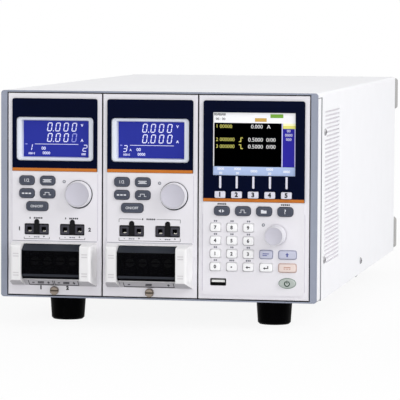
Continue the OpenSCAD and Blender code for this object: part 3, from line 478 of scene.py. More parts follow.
def lettering(bm, words, height, x, z, low, high, index=0, align="CENTER", weight=0.07):
    """Plain digits and signs as thin solids; height is that of a capital, weight thickens the strokes."""
    curve = bpy.data.curves.new("lettering", "FONT")
    curve.body = words
    curve.size = height * MM * FONT_SIZE
    curve.align_x = align
    curve.align_y = "CENTER"
    curve.extrude = (high - low) / 2 * MM
    curve.offset = weight * MM
    curve.resolution_u = 3
    holder = bpy.data.objects.new("lettering", curve)
    bpy.context.scene.collection.objects.link(holder)
    depsgraph = bpy.context.evaluated_depsgraph_get()
    mesh = bpy.data.meshes.new_from_object(holder.evaluated_get(depsgraph))
    bpy.data.objects.remove(holder)
    bpy.data.curves.remove(curve)
    mesh.transform(Matrix.Translation(spot(x, z, (low + high) / 2)) @ Matrix.Rotation(math.pi / 2, 4, "X"))
    for face in mesh.polygons:
        face.material_index = index
    before = len(bm.verts)
    bm.from_mesh(mesh)
    bpy.data.meshes.remove(mesh)
    bm.verts.ensure_lookup_table()
    bmesh.ops.remove_doubles(bm, verts=bm.verts[before:], dist=WELD)


def piece(bm, name, body, slot, *finishes, replaced=(), angle=35):
    """Turns a shape into a piece that rides on a body; angle is where its shading breaks, in degrees."""
    bmesh.ops.recalc_face_normals(bm, faces=bm.faces)
    mesh = bpy.data.meshes.new(name)
    bm.to_mesh(mesh)
    bm.free()
    for one in finishes:
        mesh.materials.append(bpy.data.materials[one])
    mesh.shade_smooth()
    mesh.set_sharp_from_angle(angle=math.radians(angle))
    made = bpy.data.objects.new(name, mesh)
    bpy.context.scene.collection.objects.link(made)
    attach(made, body)
    if replaced:
        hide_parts(*replaced)


# Steps in a metre to which the corners of a solid are matched
GRID = 1e5


def solids(node):
    """For each face of a node, its middle and the box of its solid: x, reach behind the front and height."""
    mesh = NODES[node].data
    keys = [tuple(round(c * GRID) for c in v.co) for v in mesh.vertices]
    root = {key: key for key in keys}

    def find(key):
        while root[key] != key:
            root[key] = root[root[key]]
            key = root[key]
        return key

    for face in mesh.polygons:
        for v in face.vertices:
            root[find(keys[v])] = find(keys[face.vertices[0]])
    shift = Vector((0, FRONT_Y, UNDERSIDE))
    corners = {}
    for key in root:
        corners.setdefault(find(key), []).append((Vector(key) / GRID - shift) / MM)
    boxes = {key: (Vector(map(min, zip(*p))), Vector(map(max, zip(*p)))) for key, p in corners.items()}
    return [((face.center - shift) / MM, *boxes[find(keys[face.vertices[0]])]) for face in mesh.polygons]


def paint(node, *finishes, pick=None):
    """Gives a node of the frame its finishes; pick chooses one for each face."""
    mesh = NODES[node].data
    mesh.materials.clear()
    for one in finishes:
        mesh.materials.append(bpy.data.materials[one])
    for face in mesh.polygons:
        face.material_index = pick(face) if pick else 0


# Shell and inside


class BENCHLOAD_OT_shell(Operator):
    """Paint the cover, chassis, frame, guards, feet and panels"""

    bl_idname = "benchload.shell"
    bl_label = "Shell"

    def execute(self, context):
        paint("top_cover", "cover_paint", "seam_grey", pick=self.sort_cover)
        paint("chassis", "cover_paint", "gap_black", pick=self.sort_chassis)
        paint("front_frame", "frame_paint", "gap_black", pick=self.sort_frame)
        paint("corner_guards", "guard_plastic")
        paint("feet", "foot_rubber")
        for node in ("left_panel", "right_panel", "control_panel"):
            paint(node, "panel_plastic", "gap_black", "grip_plastic", "lip_shade", "groove_shade",
                  pick=self.panel_sorter(node))
        return {"FINISHED"}

    def sort_cover(self, face):
        """The front edge of the cover is painted dark grey, as shade in the seam."""
        seam = 30 * MM
        return face.normal.y < -STRAIGHT and face.center.y < FRONT_Y + seam

    def sort_chassis(self, face):
        """The rails behind the front panels are painted dark, as shade in the gaps between the panels."""
        rails, wall = 8 * MM, 3 * MM
        return face.center.y < FRONT_Y + rails and abs(face.center.x) < FRAME_HIGH.x - wall

    def sort_frame(self, face):
        """The walls of the frame's openings are painted dark as shade in the gaps, apart from the walls that
        look to the right.
        """
        rim = 1 * MM
        if abs(face.normal.y) > ACROSS or face.normal.x > SLANT or abs(face.center.x) > FRAME_HIGH.x - rim:
            return 0
        return UNDERSIDE + rim < face.center.z < FRAME_HIGH.z - rim

    def panel_sorter(self, node):
        """Picks panel plastic, painted gap shade on hidden edges, grip plastic, and painted shade on the
        undersides and in the grooves of an ear.
        """
        low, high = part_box(node)
        base, roof = (corner.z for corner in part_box("left_panel"))
        rib, edge, flat, ear_top = 0.05 * MM, 0.2 * MM, 0.3 * MM, UNDERSIDE + 48 * MM
        groove_low, groove_high = 17.5 * MM, 17.7 * MM

        def pick(face):
            x, out, z = face.center.x, FRONT_Y - face.center.y, face.center.z
            inside = min(x - low.x, high.x - x, z - base, roof - z)
            if inside < -rib or inside < edge and abs(face.normal.y) < ACROSS:
                return 1
            if node == "control_panel" or out < flat or z > ear_top:
                return 0
            # Groove floors and faces that look down get painted shade.
            if face.normal.y < -STRAIGHT and groove_low < out < groove_high:
                return 4
            return 3 if face.normal.z < -SLANT else 2

        return pick


class BENCHLOAD_OT_inside(Operator):
    """Finish the load units, boards, sockets, terminals, lock screws and smoked covers"""

    bl_idname = "benchload.inside"
    bl_label = "Inside"

    def execute(self, context):
        self.paint_solids("circuit_boards", self.sort_board, "board_mask", "sheet_steel", "socket_plastic")
        self.paint_solids("sockets", self.sort_socket, "socket_plastic", "white_plastic", "nickel_plate")
        for side in SIDES:
            self.paint_solids(side + "_load_unit", self.sort_unit, "sheet_steel", "fin_aluminium",
                              "board_mask", "can_blue", "relay_white", "socket_plastic")
            paint(side + "_terminals", "socket_plastic", "stud_plate", "gap_black",
                  pick=self.terminal_sorter(MODULE_X[side]))
            paint(side + "_lock_screw", "lock_bronze", "lock_slot", pick=self.sort_lock)
            # Faces that look up get the lighter, painted-light copy of the smoke.
            paint(side + "_terminal_cover", "smoked_cover", "smoked_top", pick=lambda f: f.normal.z > SLANT)
        return {"FINISHED"}

    def paint_solids(self, node, sort, *finishes):
        """Paints a node whose finish depends on the box of each solid."""
        faces = solids(node)
        paint(node, *finishes, pick=lambda face: sort(*faces[face.index]))

    def sort_board(self, at, low, high):
        """Boards are green, the supply case is steel and the rear connectors are black."""
        case_long, backplane_reach, board_t = 100, 400, 1.7
        if high.y - low.y > case_long:
            return 1
        return 2 if high.y > backplane_reach and at.y < high.y - board_t else 0

    def sort_socket(self, at, low, high):
        """The tongue of the front socket is white, thin blades are plated."""
        front_reach, blade = 60, 3
        if high.y > front_reach:
            return 2 if high.x - low.x < blade else 0
        half_w, tongue_low, tongue_high, tongue_front, tongue_back = 5.7, -0.3, 1.8, -0.7, 4
        across, up = abs(at.x - (low.x + high.x) / 2), at.z - (low.z + high.z) / 2
        return across < half_w and tongue_low < up < tongue_high and tongue_front < at.y < tongue_back

    def sort_unit(self, at, low, high):
        """Tells tray, heat sink, board, cans, relays and black parts of a load unit by their sizes."""
        tray, sink, board, can, relay, black = range(6)
        sheet, tray_long, board_long, sink_high, board_t, relays_long = 3, 450, 300, 70, 1.8, 125
        size = high - low
        if size.y < sheet:
            return board
        if size.y > tray_long:
            return tray
        if size.y <= board_long:
            return black
        if size.z > sink_high:
            return sink
        if at.z < low.z + board_t:
            return board
        return relay if at.y > high.y - relays_long else can

    def terminal_sorter(self, middle):
        """Picks the screw heads, which stand before the block between its barriers, and the floors of their
        slots, painted dark as shade.
        """
        pitch, head_r, head_low, head_high, slot_high = 11, 3.6, 2.05, 4.7, 4.5

        def pick(face):
            x, out = face.center.x / MM - middle, (FRONT_Y - face.center.y) / MM
            off = abs(abs(x) % pitch - pitch / 2)
            if off > head_r or not head_low < out < head_high:
                return 0
            return 2 if face.normal.y < -STRAIGHT and out < slot_high else 1

        return pick

    def sort_lock(self, face):
        """The floor of a lock screw's slot is painted darker bronze, as shade in the slot."""
        head = 3 * MM
        return face.normal.y < -STRAIGHT and FRONT_Y - head < face.center.y < FRONT_Y


# Keys and knobs


KEY_FLANGE = 0.8
KEY_CROWN = 0.18
# Segments round a dial, and round a lamp or a screw
ROUND, SMALL_ROUND = 72, 32


def key_shape(node):
    """Middle, width and height of a key without its hidden flange, in millimetres."""
    left, right, low, high = node_front(node)
    return (left + right) / 2, (low + high) / 2, right - left - 2 * KEY_FLANGE, high - low - 2 * KEY_FLANGE


def make_key(node, corner, edge, slot, cap, ink, draw, rim=None, slim=0.0):
    """A crowned key with its flange, a printed sign and, on dark keys, a thin lighter line along its edge as
    painted highlight.
    """
    x, z, w, h = key_shape(node)
    back, top = node_reach(node)
    w, h = w - 2 * slim, h - 2 * slim
    flange_t, foot, collar, least_corner = 1, 0.5, 0.1, 0.2

    def shape(inset, grow=0.0):
        wide, high = w + 2 * grow - 2 * inset, h + 2 * grow - 2 * inset
        if corner is None:
            return ellipse(wide, high)
        return rounded(wide, high, max(corner - inset, least_corner))

    bm = bmesh.new()
    plate(bm, shape(0, KEY_FLANGE + slim), x, z, back, back + flange_t)
    if slim:
        plate(bm, shape(0, slim + collar), x, z, back + foot, FIELD_OUT - foot)
    pad(bm, shape, x, z, back + foot, top, edge, KEY_CROWN)
    draw(bm, x, z, w, h, top - SUNK, top + INK)
    # Painted highlight: a lighter line just inside the edge of a dark key.
    if rim:
        line_out, line_in, line_low, line_high = 0.75, 1.0, top - 0.6, top - 0.08
        hoop(bm, shape(line_out), shape(line_in), x, z, line_low, line_high, 2)
    piece(bm, node + "_cap", node, slot, cap, ink, *([rim] if rim else []), replaced=(node,))


def sign(words, share, weight):
    """Draws digits or signs in the middle of a key; share is that of the key's height."""
    def draw(bm, x, z, w, h, low, high):
        lettering(bm, words, h * share, x, z, low, high, 1, weight=weight)
    return draw


def bars(*boxes):
    """Draws bars, given as shares of the key's size from its middle."""
    def draw(bm, x, z, w, h, low, high):
        for x0, z0, x1, z1 in boxes:
            bar(bm, x + x0 * w, z + z0 * h, x + x1 * w, z + z1 * h, low, high, 1)
    return draw


def shapes(*outlines):
    """Draws polygons, given in millimetres from the key's middle."""
    def draw(bm, x, z, w, h, low, high):
        for outline in outlines:
            plate(bm, outline, x, z, low, high, 1)
    return draw


def step_wave(reach, inner, low, high, t=0.45):
    """The outline of a square wave with strokes of one width."""
    return [
        (-reach, low), (-inner, low), (-inner, high - t), (inner, high - t), (inner, low), (reach, low),
        (reach, low + t), (inner + t, low + t), (inner + t, high), (-inner - t, high), (-inner - t, low + t),
        (-reach, low + t),
    ]


def draw_power(bm, x, z, w, h, low, high):
    """Draws the standby sign, an open ring with a stroke."""
    r, t, drop, rise = 2.5, 0.8, 0.2, 0.1
    start, end, steps = 118, 422, 24
    outline = arc(r, start, end, steps) + arc(r - t, end, start, steps)
    plate(bm, outline, x, z - drop, low, high, 1)
    bar(bm, x - t / 2, z + rise, x + t / 2, z + r + rise, low, high, 1)


MODULE_SIGNS = {
    "key_1": sign("1/2", 0.36, 0.02),
    "key_2": bars((-0.28, 0.08, 0.28, 0.16), (-0.2, -0.04, 0.2, 0.04), (-0.28, -0.16, 0.28, -0.08)),
    "key_3": bars((-0.3, -0.07, -0.14, 0.07), (-0.08, -0.07, 0.08, 0.07), (0.14, -0.07, 0.3, 0.07)),
    "key_4": shapes(step_wave(3.4, 1.5, -1.2, 1.25)),
    "wide_key": sign("ON/OFF", 0.28, 0.04),
}
FOLDER = [(-2.4, -1.5), (2.4, -1.5), (2.4, 0.9), (0, 0.9), (-0.5, 1.5), (-2.4, 1.5)]
MENU_SIGNS = {
    "menu_key_1": shapes([(-2.6, 0), (-0.5, 1.4), (-0.5, -1.4)], [(2.6, 0), (0.5, 1.4), (0.5, -1.4)]),
    "menu_key_2": shapes(step_wave(3, 1.1, -1.4, 1.4)),
    "menu_key_3": shapes(FOLDER),
    "menu_key_4": sign("?", 0.5, 0.1),
}
ARROW_LEFT = [(-1.9, 0), (-0.4, 1.2), (-0.4, 0.35), (1.9, 0.35), (1.9, -0.35), (-0.4, -0.35), (-0.4, -1.2)]
ARROW_UP = [(0, 1.8), (1.6, 0.1), (0.6, 0.1), (0.6, -1.6), (-0.6, -1.6), (-0.6, 0.1), (-1.6, 0.1)]
ARROW_ENTER = [
    (-2.2, -0.5), (-0.9, 0.6), (-0.9, -0.15), (1.4, -0.15), (1.4, 1.5), (2.1, 1.5), (2.1, -0.85),
    (-0.9, -0.85), (-0.9, -1.6),
]
WHITE_SIGNS = {f"number_key_{i}": sign(str(i), 0.44, 0.15) for i in range(10)}
WHITE_SIGNS |= {
    "point_key": shapes(ellipse(1.3, 1.3, 20)),
    "clear_key": shapes(ARROW_LEFT),
    "enter_key": shapes(ARROW_ENTER),
}
LINES = bars((-0.26, 0.06, 0.26, 0.16), (-0.26, -0.16, 0.1, -0.06))
DC_SIGN = bars(
    (-0.2, 0.06, 0.2, 0.14), (-0.2, -0.14, -0.1, -0.06), (-0.05, -0.14, 0.05, -0.06),
    (0.1, -0.14, 0.2, -0.06),
)


class BENCHLOAD_OT_keys(Operator):
    """Make all keys with their generic signs"""

    bl_idname = "benchload.keys"
    bl_label = "Keys"

    def execute(self, context):
        sizes = context.scene.benchload_sizes
        edge, dark, pale = sizes.key_edge / MM, sizes.dark_corner / MM, sizes.pale_corner / MM
        slim = sizes.key_slim / MM
        dark_signs = {f"{side}_{name}": draw for side in SIDES for name, draw in MODULE_SIGNS.items()}
        for node, draw in (dark_signs | MENU_SIGNS).items():
            # Dark keys get the rim ink, a painted highlight along their edges.
            make_key(node, dark, edge, "key_dark", "dark_key", "white_ink", draw, "rim_ink")
        soft_corner, soft_edge, power_edge = 0.9, 0.4, 0.9
        for i in range(1, 6):
            make_key(f"soft_key_{i}", soft_corner, soft_edge, "key_soft", "soft_key", "dark_ink",
                     sign(str(i), 0.66, 0.26))
        for node, draw in WHITE_SIGNS.items():
            make_key(node, pale, edge, "key_white", "number_key", "dark_ink", draw, slim=slim)
        make_key("preset_key", pale, edge, "key_blue", "blue_key", "blue_ink", LINES, slim=slim)
        make_key("shift_key", pale, edge, "key_blue", "blue_key", "blue_ink", shapes(ARROW_UP), slim=slim)
        make_key("load_key", pale, edge, "key_pink", "pink_key", "red_ink", DC_SIGN, slim=slim)
        make_key("power_key", None, power_edge, "key_green", "green_key", "green_ink", draw_power)
        return {"FINISHED"}


class BENCHLOAD_OT_knobs(Operator):
    """Make the two dials and the tall knob with fluted sides"""

    bl_idname = "benchload.knobs"
    bl_label = "Dials and knob"

    def execute(self, context):
        for node in ("left_dial", "right_dial", "control_knob"):
            self.knob(node)
        for side in SIDES:
            self.seat(side)
        return {"FINISHED"}

    def place(self, node):
        """Middle and diameter of a knob, in millimetres."""
        left, right, low, high = node_front(node)
        return (left + right) / 2, (low + high) / 2, right - left

    def knob(self, node):
        """A turned knob on its shaft, with a foot, a fluted side, a rounded rim and a dished face."""
        x, z, d = self.place(node)
        back, top = node_reach(node)
        r, shaft, skirt = d / 2, 3.0, FIELD_OUT + 0.25
        face, bed, dip, lap = r - 1.15, top - 1.5, 1.2, 0.1
        profile = [
            (shaft, back), (shaft, skirt), (r - 0.5, skirt), (r, skirt + 0.5), (r, skirt + 1.0),
            (r - 0.1, skirt + 1.4), (r - 0.3, top - 1.0), (r - 0.4, top - 0.6), (r - 0.6, top - 0.25),
            (r - 0.9, top), (face, top), (face - 0.1, bed), (0.5, bed),
        ]
        dish = [(face - 0.15, bed - lap)]
        for share in (0.98, 0.85, 0.7, 0.55, 0.4, 0.25, 0.1):
            dish.append((face * share, top - lap - dip * (1 - share * share)))
        bm = bmesh.new()
        axis = facing(spot(x, z, 0), OUTWARD)
        turned(bm, profile, axis, 2 * ROUND, ribs=36, rib_depth=0.25, ribbed=(5, 6))
        # The dished face gets the darker painted-shade copy of the knob plastic.
        turned(bm, dish, axis, ROUND, 1)
        piece(bm, node + "_turned", node, "knob_grey", "knob_plastic", "knob_face", replaced=(node,),
              angle=40)

    def seat(self, side):
        """A dark ring round a dial, set a little to the left and low so that it is wider below: painted shade
        of the gap and of the dial's shadow.
        """
        x, z, d = self.place(side + "_dial")
        gap, under, aside, drop, depth = 1.5, 1.4, 0.2, 0.4, 0.8
        outer, inner = ellipse(d + gap, d + gap, ROUND), ellipse(d - under, d - under, ROUND)
        bm = bmesh.new()
        hoop(bm, outer, inner, x - aside, z - drop, FIELD_OUT - depth, FIELD_OUT + INK)
        piece(bm, side + "_dial_seat", side + "_module", "panel_white", "shade_ink")


# Displays


WINDOW_EDGE = 0.25
STRIPE_RISE = 0.1
STRIPE_DEPTH = 0.5
BEZEL_W, BEZEL_H, BEZEL_RISE = 67, 37.2, 27.4
GLASS_W, GLASS_H, GLASS_OUT, GLASS_BACK = 56.5, 30.6, -4.2, -7


def orange_stripe(bm, left, right, low, height, index):
    """The stripe along the lower edge of a window."""
    bar(bm, left, low + STRIPE_RISE, right, low + height, WINDOW_OUT - STRIPE_DEPTH, WINDOW_OUT + INK, index)


class BENCHLOAD_OT_displays(Operator):
    """Make the windows, bezels and segment displays of the modules"""

    bl_idname = "benchload.displays"
    bl_label = "Module displays"

    def execute(self, context):
        stripe = context.scene.benchload_sizes.stripe_h / MM
        for side in SIDES:
            left, right, low, _ = node_front(side + "_display")
            x, lcd_z = (left + right) / 2, low + BEZEL_RISE
            self.window(side, lcd_z, stripe)
            self.bezel(side, x, lcd_z)
            self.lcd(side, x, lcd_z)
        return {"FINISHED"}

    def window(self, side, lcd_z, stripe):
        """The navy window with its opening and the orange stripe."""
        left, right, low, high = node_front(side + "_display")
        x, z, w, h = (left + right) / 2, (low + high) / 2, right - left, high - low
        edge, top = WINDOW_EDGE, WINDOW_OUT
        outer = rounded(w, h, (2, 2, 0.2, 0.2))
        inset = rounded(w - 2 * edge, h - 2 * edge, (1.8, 1.8, 0.2, 0.2))
        corner, rise = 3, lcd_z - z
        opening = rounded(BEZEL_W, BEZEL_H, corner)
        wide_opening = rounded(BEZEL_W + 2 * edge, BEZEL_H + 2 * edge, corner + edge)
        hole, wide_hole = ([(px, pz + rise) for px, pz in one] for one in (opening, wide_opening))
        rings = (
            (outer, 0), (outer, top - edge), (inset, top), (wide_hole, top), (hole, top - edge), (hole, 0),
        )
        bm = bmesh.new()
        skin(bm, [ring(outline, x, z, out) for outline, out in rings], close=True)
        orange_stripe(bm, left + edge, right - edge, low, stripe, 1)
        piece(bm, side + "_window", side + "_module", "window_navy", "window_gloss", "stripe_ink",
              replaced=(side + "_display",))

    def bezel(self, side, x, z):
        """The silver bezel: a rounded rim, a flat face and a slope down to the glass."""
        steps = (
            (BEZEL_W - 0.3, BEZEL_H - 0.3, 2.9, -1.2), (BEZEL_W - 0.3, BEZEL_H - 0.3, 2.9, -0.5),
            (BEZEL_W - 0.9, BEZEL_H - 0.9, 2.6, -0.2), (GLASS_W + 3.2, GLASS_H + 2.6, 1.6, -0.2),
            (GLASS_W + 2.0, GLASS_H + 1.6, 1.2, -0.6), (GLASS_W + 0.2, GLASS_H + 0.2, 0.4, GLASS_OUT),
            (GLASS_W + 0.2, GLASS_H + 0.2, 0.4, GLASS_BACK), (BEZEL_W + 0.8, BEZEL_H + 0.8, 1.0, GLASS_BACK),
            (BEZEL_W + 0.8, BEZEL_H + 0.8, 1.0, -1.2),
        )
        bm = bmesh.new()
        skin(bm, [ring(rounded(w, h, r), x, z, out) for w, h, r, out in steps], close=True)
        piece(bm, side + "_bezel", side + "_module", "window_navy", "bezel_silver")

    def lcd(self, side, x, z):
        """The blue glass with two rows of digits over a rule, and the small signs below it."""
        bm = bmesh.new()
        plate(bm, rounded(GLASS_W, GLASS_H, 0.4), x, z, GLASS_BACK, GLASS_OUT)
        left, top = x - GLASS_W / 2, z + GLASS_H / 2
        low, high = GLASS_OUT - 0.2, GLASS_OUT + INK
        self.rows(bm, side, left, top, low, high)
        self.signs(bm, side, left, top, low, high)
        piece(bm, side + "_lcd", side + "_module", "window_navy", "lcd_backlight", "lcd_segment", "lcd_faint")

    def rows(self, bm, side, left, top, low, high):
        """Two rows of four digits with a point and a unit, and the rule under them."""
        digit_w, digit_h, stroke, pitch = 3.4, 6.7, 0.8, 7.1
        first, unit_x, unit_h = left + 20.6, left + 50.8, 2.2
        point_x, point_r = first + 5.3, 0.4
        for unit, drop, unit_rise in (("V", 8.6, 4.8), ("A", 17.6, 1.1)):
            z = top - drop
            for k in range(4):
                faint = side == "left" and unit == "A" and k == 3
                seven_segment(bm, "0", first + k * pitch, z, digit_w, digit_h, stroke, low, high,
                              2 if faint else 1)
            bar(bm, point_x - point_r, z - point_r, point_x + point_r, z + point_r, low, high, 1)
            lettering(bm, unit, unit_h, unit_x, z + unit_rise, low, high, 1, weight=0.14)
        rule_left, rule_right, rule_drop, rule_t = 9.8, 47.6, 20.1, 0.4
        bar(bm, left + rule_left, top - rule_drop, left + rule_right, top - rule_drop + rule_t, low, high, 1)

    def signs(self, bm, side, left, top, low, high):
        """The bay's number and the small values under the rule; each has its place from the upper left."""
        small = [
            ("000 0", 1.8, 7.0, 28.0, 0.05), ("00", 2.7, 17.4, 23.6, 0.07), ("0000", 2.4, 19.8, 27.6, 0.07),
        ]
        number = "1" if side == "left" else "3"
        seven_segment(bm, number, left + 3.8, top - 25.4, 2.9, 5.2, 0.65, low, high, slant=0.2)
        bar(bm, left + 1.4, top - 20.4, left + 3.2, top - 19.6, low, high, 2)
        if side == "left":
            seven_segment(bm, "2", left + 51.4, top - 25.6, 3.2, 5.2, 0.7, low, high)
            small.insert(0, ("000", 1.8, 52.2, 28.2, 0.08))
        else:
            small.insert(0, ("A", 1.9, 10.4, 24.0, 0.07))
        for words, height, x, drop, weight in small:
            lettering(bm, words, height, left + x, top - drop, low, high, 1, weight=weight)


class BENCHLOAD_OT_screen(Operator):
    """Make the controller window and its colour screen"""

    bl_idname = "benchload.screen"
    bl_label = "Controller screen"

    def execute(self, context):
        stripe = context.scene.benchload_sizes.stripe_h / MM
        left, right, low, high = node_front("control_display")
        paint("control_display", "window_gloss")
        inset = 0.2
        bm = bmesh.new()
        orange_stripe(bm, left + inset, right - inset, low, stripe, 0)
        piece(bm, "control_stripe", "mainframe", "window_navy", "stripe_ink")
        line_rise, line = 16.4, rounded(1.8, 10.2, (0.3, 0.3, 0.8, 0.8))
        bm = bmesh.new()
        for i in range(1, 6):
            x = middle_x(f"soft_key_{i}")
            plate(bm, line, x, low + line_rise, WINDOW_OUT - SUNK, WINDOW_OUT + INK)
        piece(bm, "soft_key_lines", "mainframe", "window_navy", "soft_key")
        screen_w, screen_h, screen_drop = 70.2, 53.2, 36.4
        bm = bmesh.new()
        self.picture(bm, (left + right - screen_w) / 2, high - screen_drop + screen_h / 2, screen_w, screen_h)
        finishes = ["screen_" + name for name in SCREEN_COLOURS]
        piece(bm, "control_screen", "mainframe", "window_navy", *finishes)
        return {"FINISHED"}

    def picture(self, bm, left, top, w, h):
        """Header, values, side column and the row of soft key fields, placed from the upper left corner."""
        back, low, field_out, value_out = -0.6, -0.3, -0.1, 0.0
        black, white, blue, sky, yellow, green, amber, lavender, cream = range(len(SCREEN_COLOURS))
        rim, head, body_end, column = 0.2, 8.9, 45.4, 59.4
        cream_end, yellow_end, column_end = 10.8, 13.4, 69.2
        right, foot = w - rim, h - rim

        def field(x0, z0, x1, z1, index, out=field_out):
            bar(bm, left + x0, top - z1, left + x1, top - z0, low, out, index)

        def value(words, x, drop, height, index, weight, align="LEFT"):
            lettering(bm, words, height, left + x, top - drop, low, value_out, index, align, weight)

        plate(bm, rounded(w - 0.1, h - 0.1, 0.3), left + w / 2, top - h / 2, back, low + 0.1, black)
        field(rim, rim, right, head, white)
        field(rim, head, 1.0, body_end, white)
        field(58.3, head, 59.2, body_end, lavender)
        field(column, head, right, cream_end, cream)
        field(column, cream_end, right, yellow_end, yellow)
        field(column, yellow_end, column_end, body_end, blue)
        field(column_end, yellow_end, right, body_end, lavender)
        field(rim, 45.6, right, foot, sky)
        field(48.7, 1.3, 59.6, 4.4, green, value_out)
        field(35.6, 4.7, 45.5, 7.7, amber, value_out)
        value("00/00/00", 0.9, 2.0, 2.0, black, 0.04)
        value("00 : 00", 2.4, 5.8, 2.1, black, 0.02)
        value("1 00000", 2.3, 12.0, 3.1, yellow, -0.04)
        value("0.000", 32.2, 12.0, 3.3, white, -0.03)
        value("A", 45.8, 12.0, 3.3, white, 0.0)
        for number, drop, rise in ((2, 23.0, 1), (3, 28.8, -1)):
            value(f"{number} 000000", 2.3, drop, 3.1, yellow, -0.04)
            value("0.5000", 29.8, drop, 3.4, white, -0.03)
            value("0/00", 45.2, drop, 3.3, white, -0.03)
            for x, step in ((23.4, -1.6 * rise), (22.0, 1.6 * rise)):
                field(x, drop + step - 0.3, x + 2.0, drop + step + 0.3, yellow, value_out)
            field(23.4, drop - 1.9, 24.0, drop + 1.9, yellow, value_out)
        for words, drop in (("00", 15.3), ("0000", 18.8), ("000", 22.4)):
            value(words, 64.3, drop, 2.3, white, -0.02, "CENTER")
        one_line, first_line, second_line = 49.4, 47.6, 51.2
        for x, single in ((6.7, False), (21, False), (35, True), (48.4, False), (62.8, True)):
            value("0000", x, one_line if single else first_line, 2.1, white, 0.04, "CENTER")
            if not single:
                value("00", x, second_line, 2.0, white, 0.04, "CENTER")


class BENCHLOAD_OT_lamps(Operator):
    """Make the small lamps beside the dials and the knob"""

    bl_idname = "benchload.lamps"
    bl_label = "Lamps"

    def execute(self, context):
        aside, dial_z, knob_z = 8.4, 99.1, 65.5
        places = [(side + "_module", MODULE_X[side] + aside, dial_z) for side in SIDES]
        places.append(("mainframe", CONTROL_X + aside, knob_z))
        collar = [(0.9, -0.4), (1.35, -0.4), (1.35, 0.12), (1.15, 0.22), (0.9, 0.1)]
        lens = [(0.85, -0.4), (0.85, 0.1), (0.6, 0.25), (0.25, 0.32)]
        for body, x, z in places:
            bm = bmesh.new()
            place = facing(spot(x, z, FIELD_OUT), OUTWARD)
            turned(bm, collar, place, SMALL_ROUND)
            turned(bm, lens, place, SMALL_ROUND, 1)
            piece(bm, body + "_lamp", body, "socket_black", "grey_ink", "lamp_lens")
        return {"FINISHED"}


# Printing and terminals


# Middles of the sense sockets beside the module's middle, and their height
SENSE_X, SENSE_Z = 15.5, 58.3
# Lower and upper edge of the slope under a terminal cover, as reach and height
LIP_LOW, LIP_HIGH = Vector((0.0, 10.2)), Vector((7.0, 15.7))


def bracket(bm, x0, x1, z, drop, t):
    """A printed bracket: a line with an end stroke at both sides."""
    bar(bm, x0, z - t / 2, x1, z + t / 2, *FIELD_PRINT)
    for x in (x0, x1):
        bar(bm, x - t / 2, min(z, z + drop), x + t / 2, max(z, z + drop), *FIELD_PRINT)


def marks(bm, x, z, widths, height, index=0, gap=0.4):
    """A row of small printed blocks round a middle."""
    x -= (sum(widths) + gap * (len(widths) - 1)) / 2
    for one in widths:
        bar(bm, x, z - height / 2, x + one, z + height / 2, *FIELD_PRINT, index)
        x += one + gap


def lip_bar(bm, x0, s0, x1, s1):
    """A printed bar on the slope under a terminal cover; s runs from 0 below to 1 above."""
    along = LIP_HIGH - LIP_LOW
    normal = Vector((along.y, -along.x)).normalized()
    rings = []
    for lift in PANEL_PRINT:
        edges = [LIP_LOW + along * s + normal * lift for s in (s0, s0, s1, s1)]
        rings.append([spot(x, at.y, at.x) for x, at in zip((x0, x1, x1, x0), edges)])
    skin(bm, rings)


def key_outline(bm, node, corner, t, index):
    """A printed line round a key."""
    x, z, w, h = key_shape(node)
    gap = 0.15
    inner, outer = (
        ellipse(w + 2 * grow, h + 2 * grow) if corner is None
        else rounded(w + 2 * grow, h + 2 * grow, corner + grow)
        for grow in (gap, gap + t)
    )
    hoop(bm, outer, inner, x, z, *FIELD_PRINT, index)


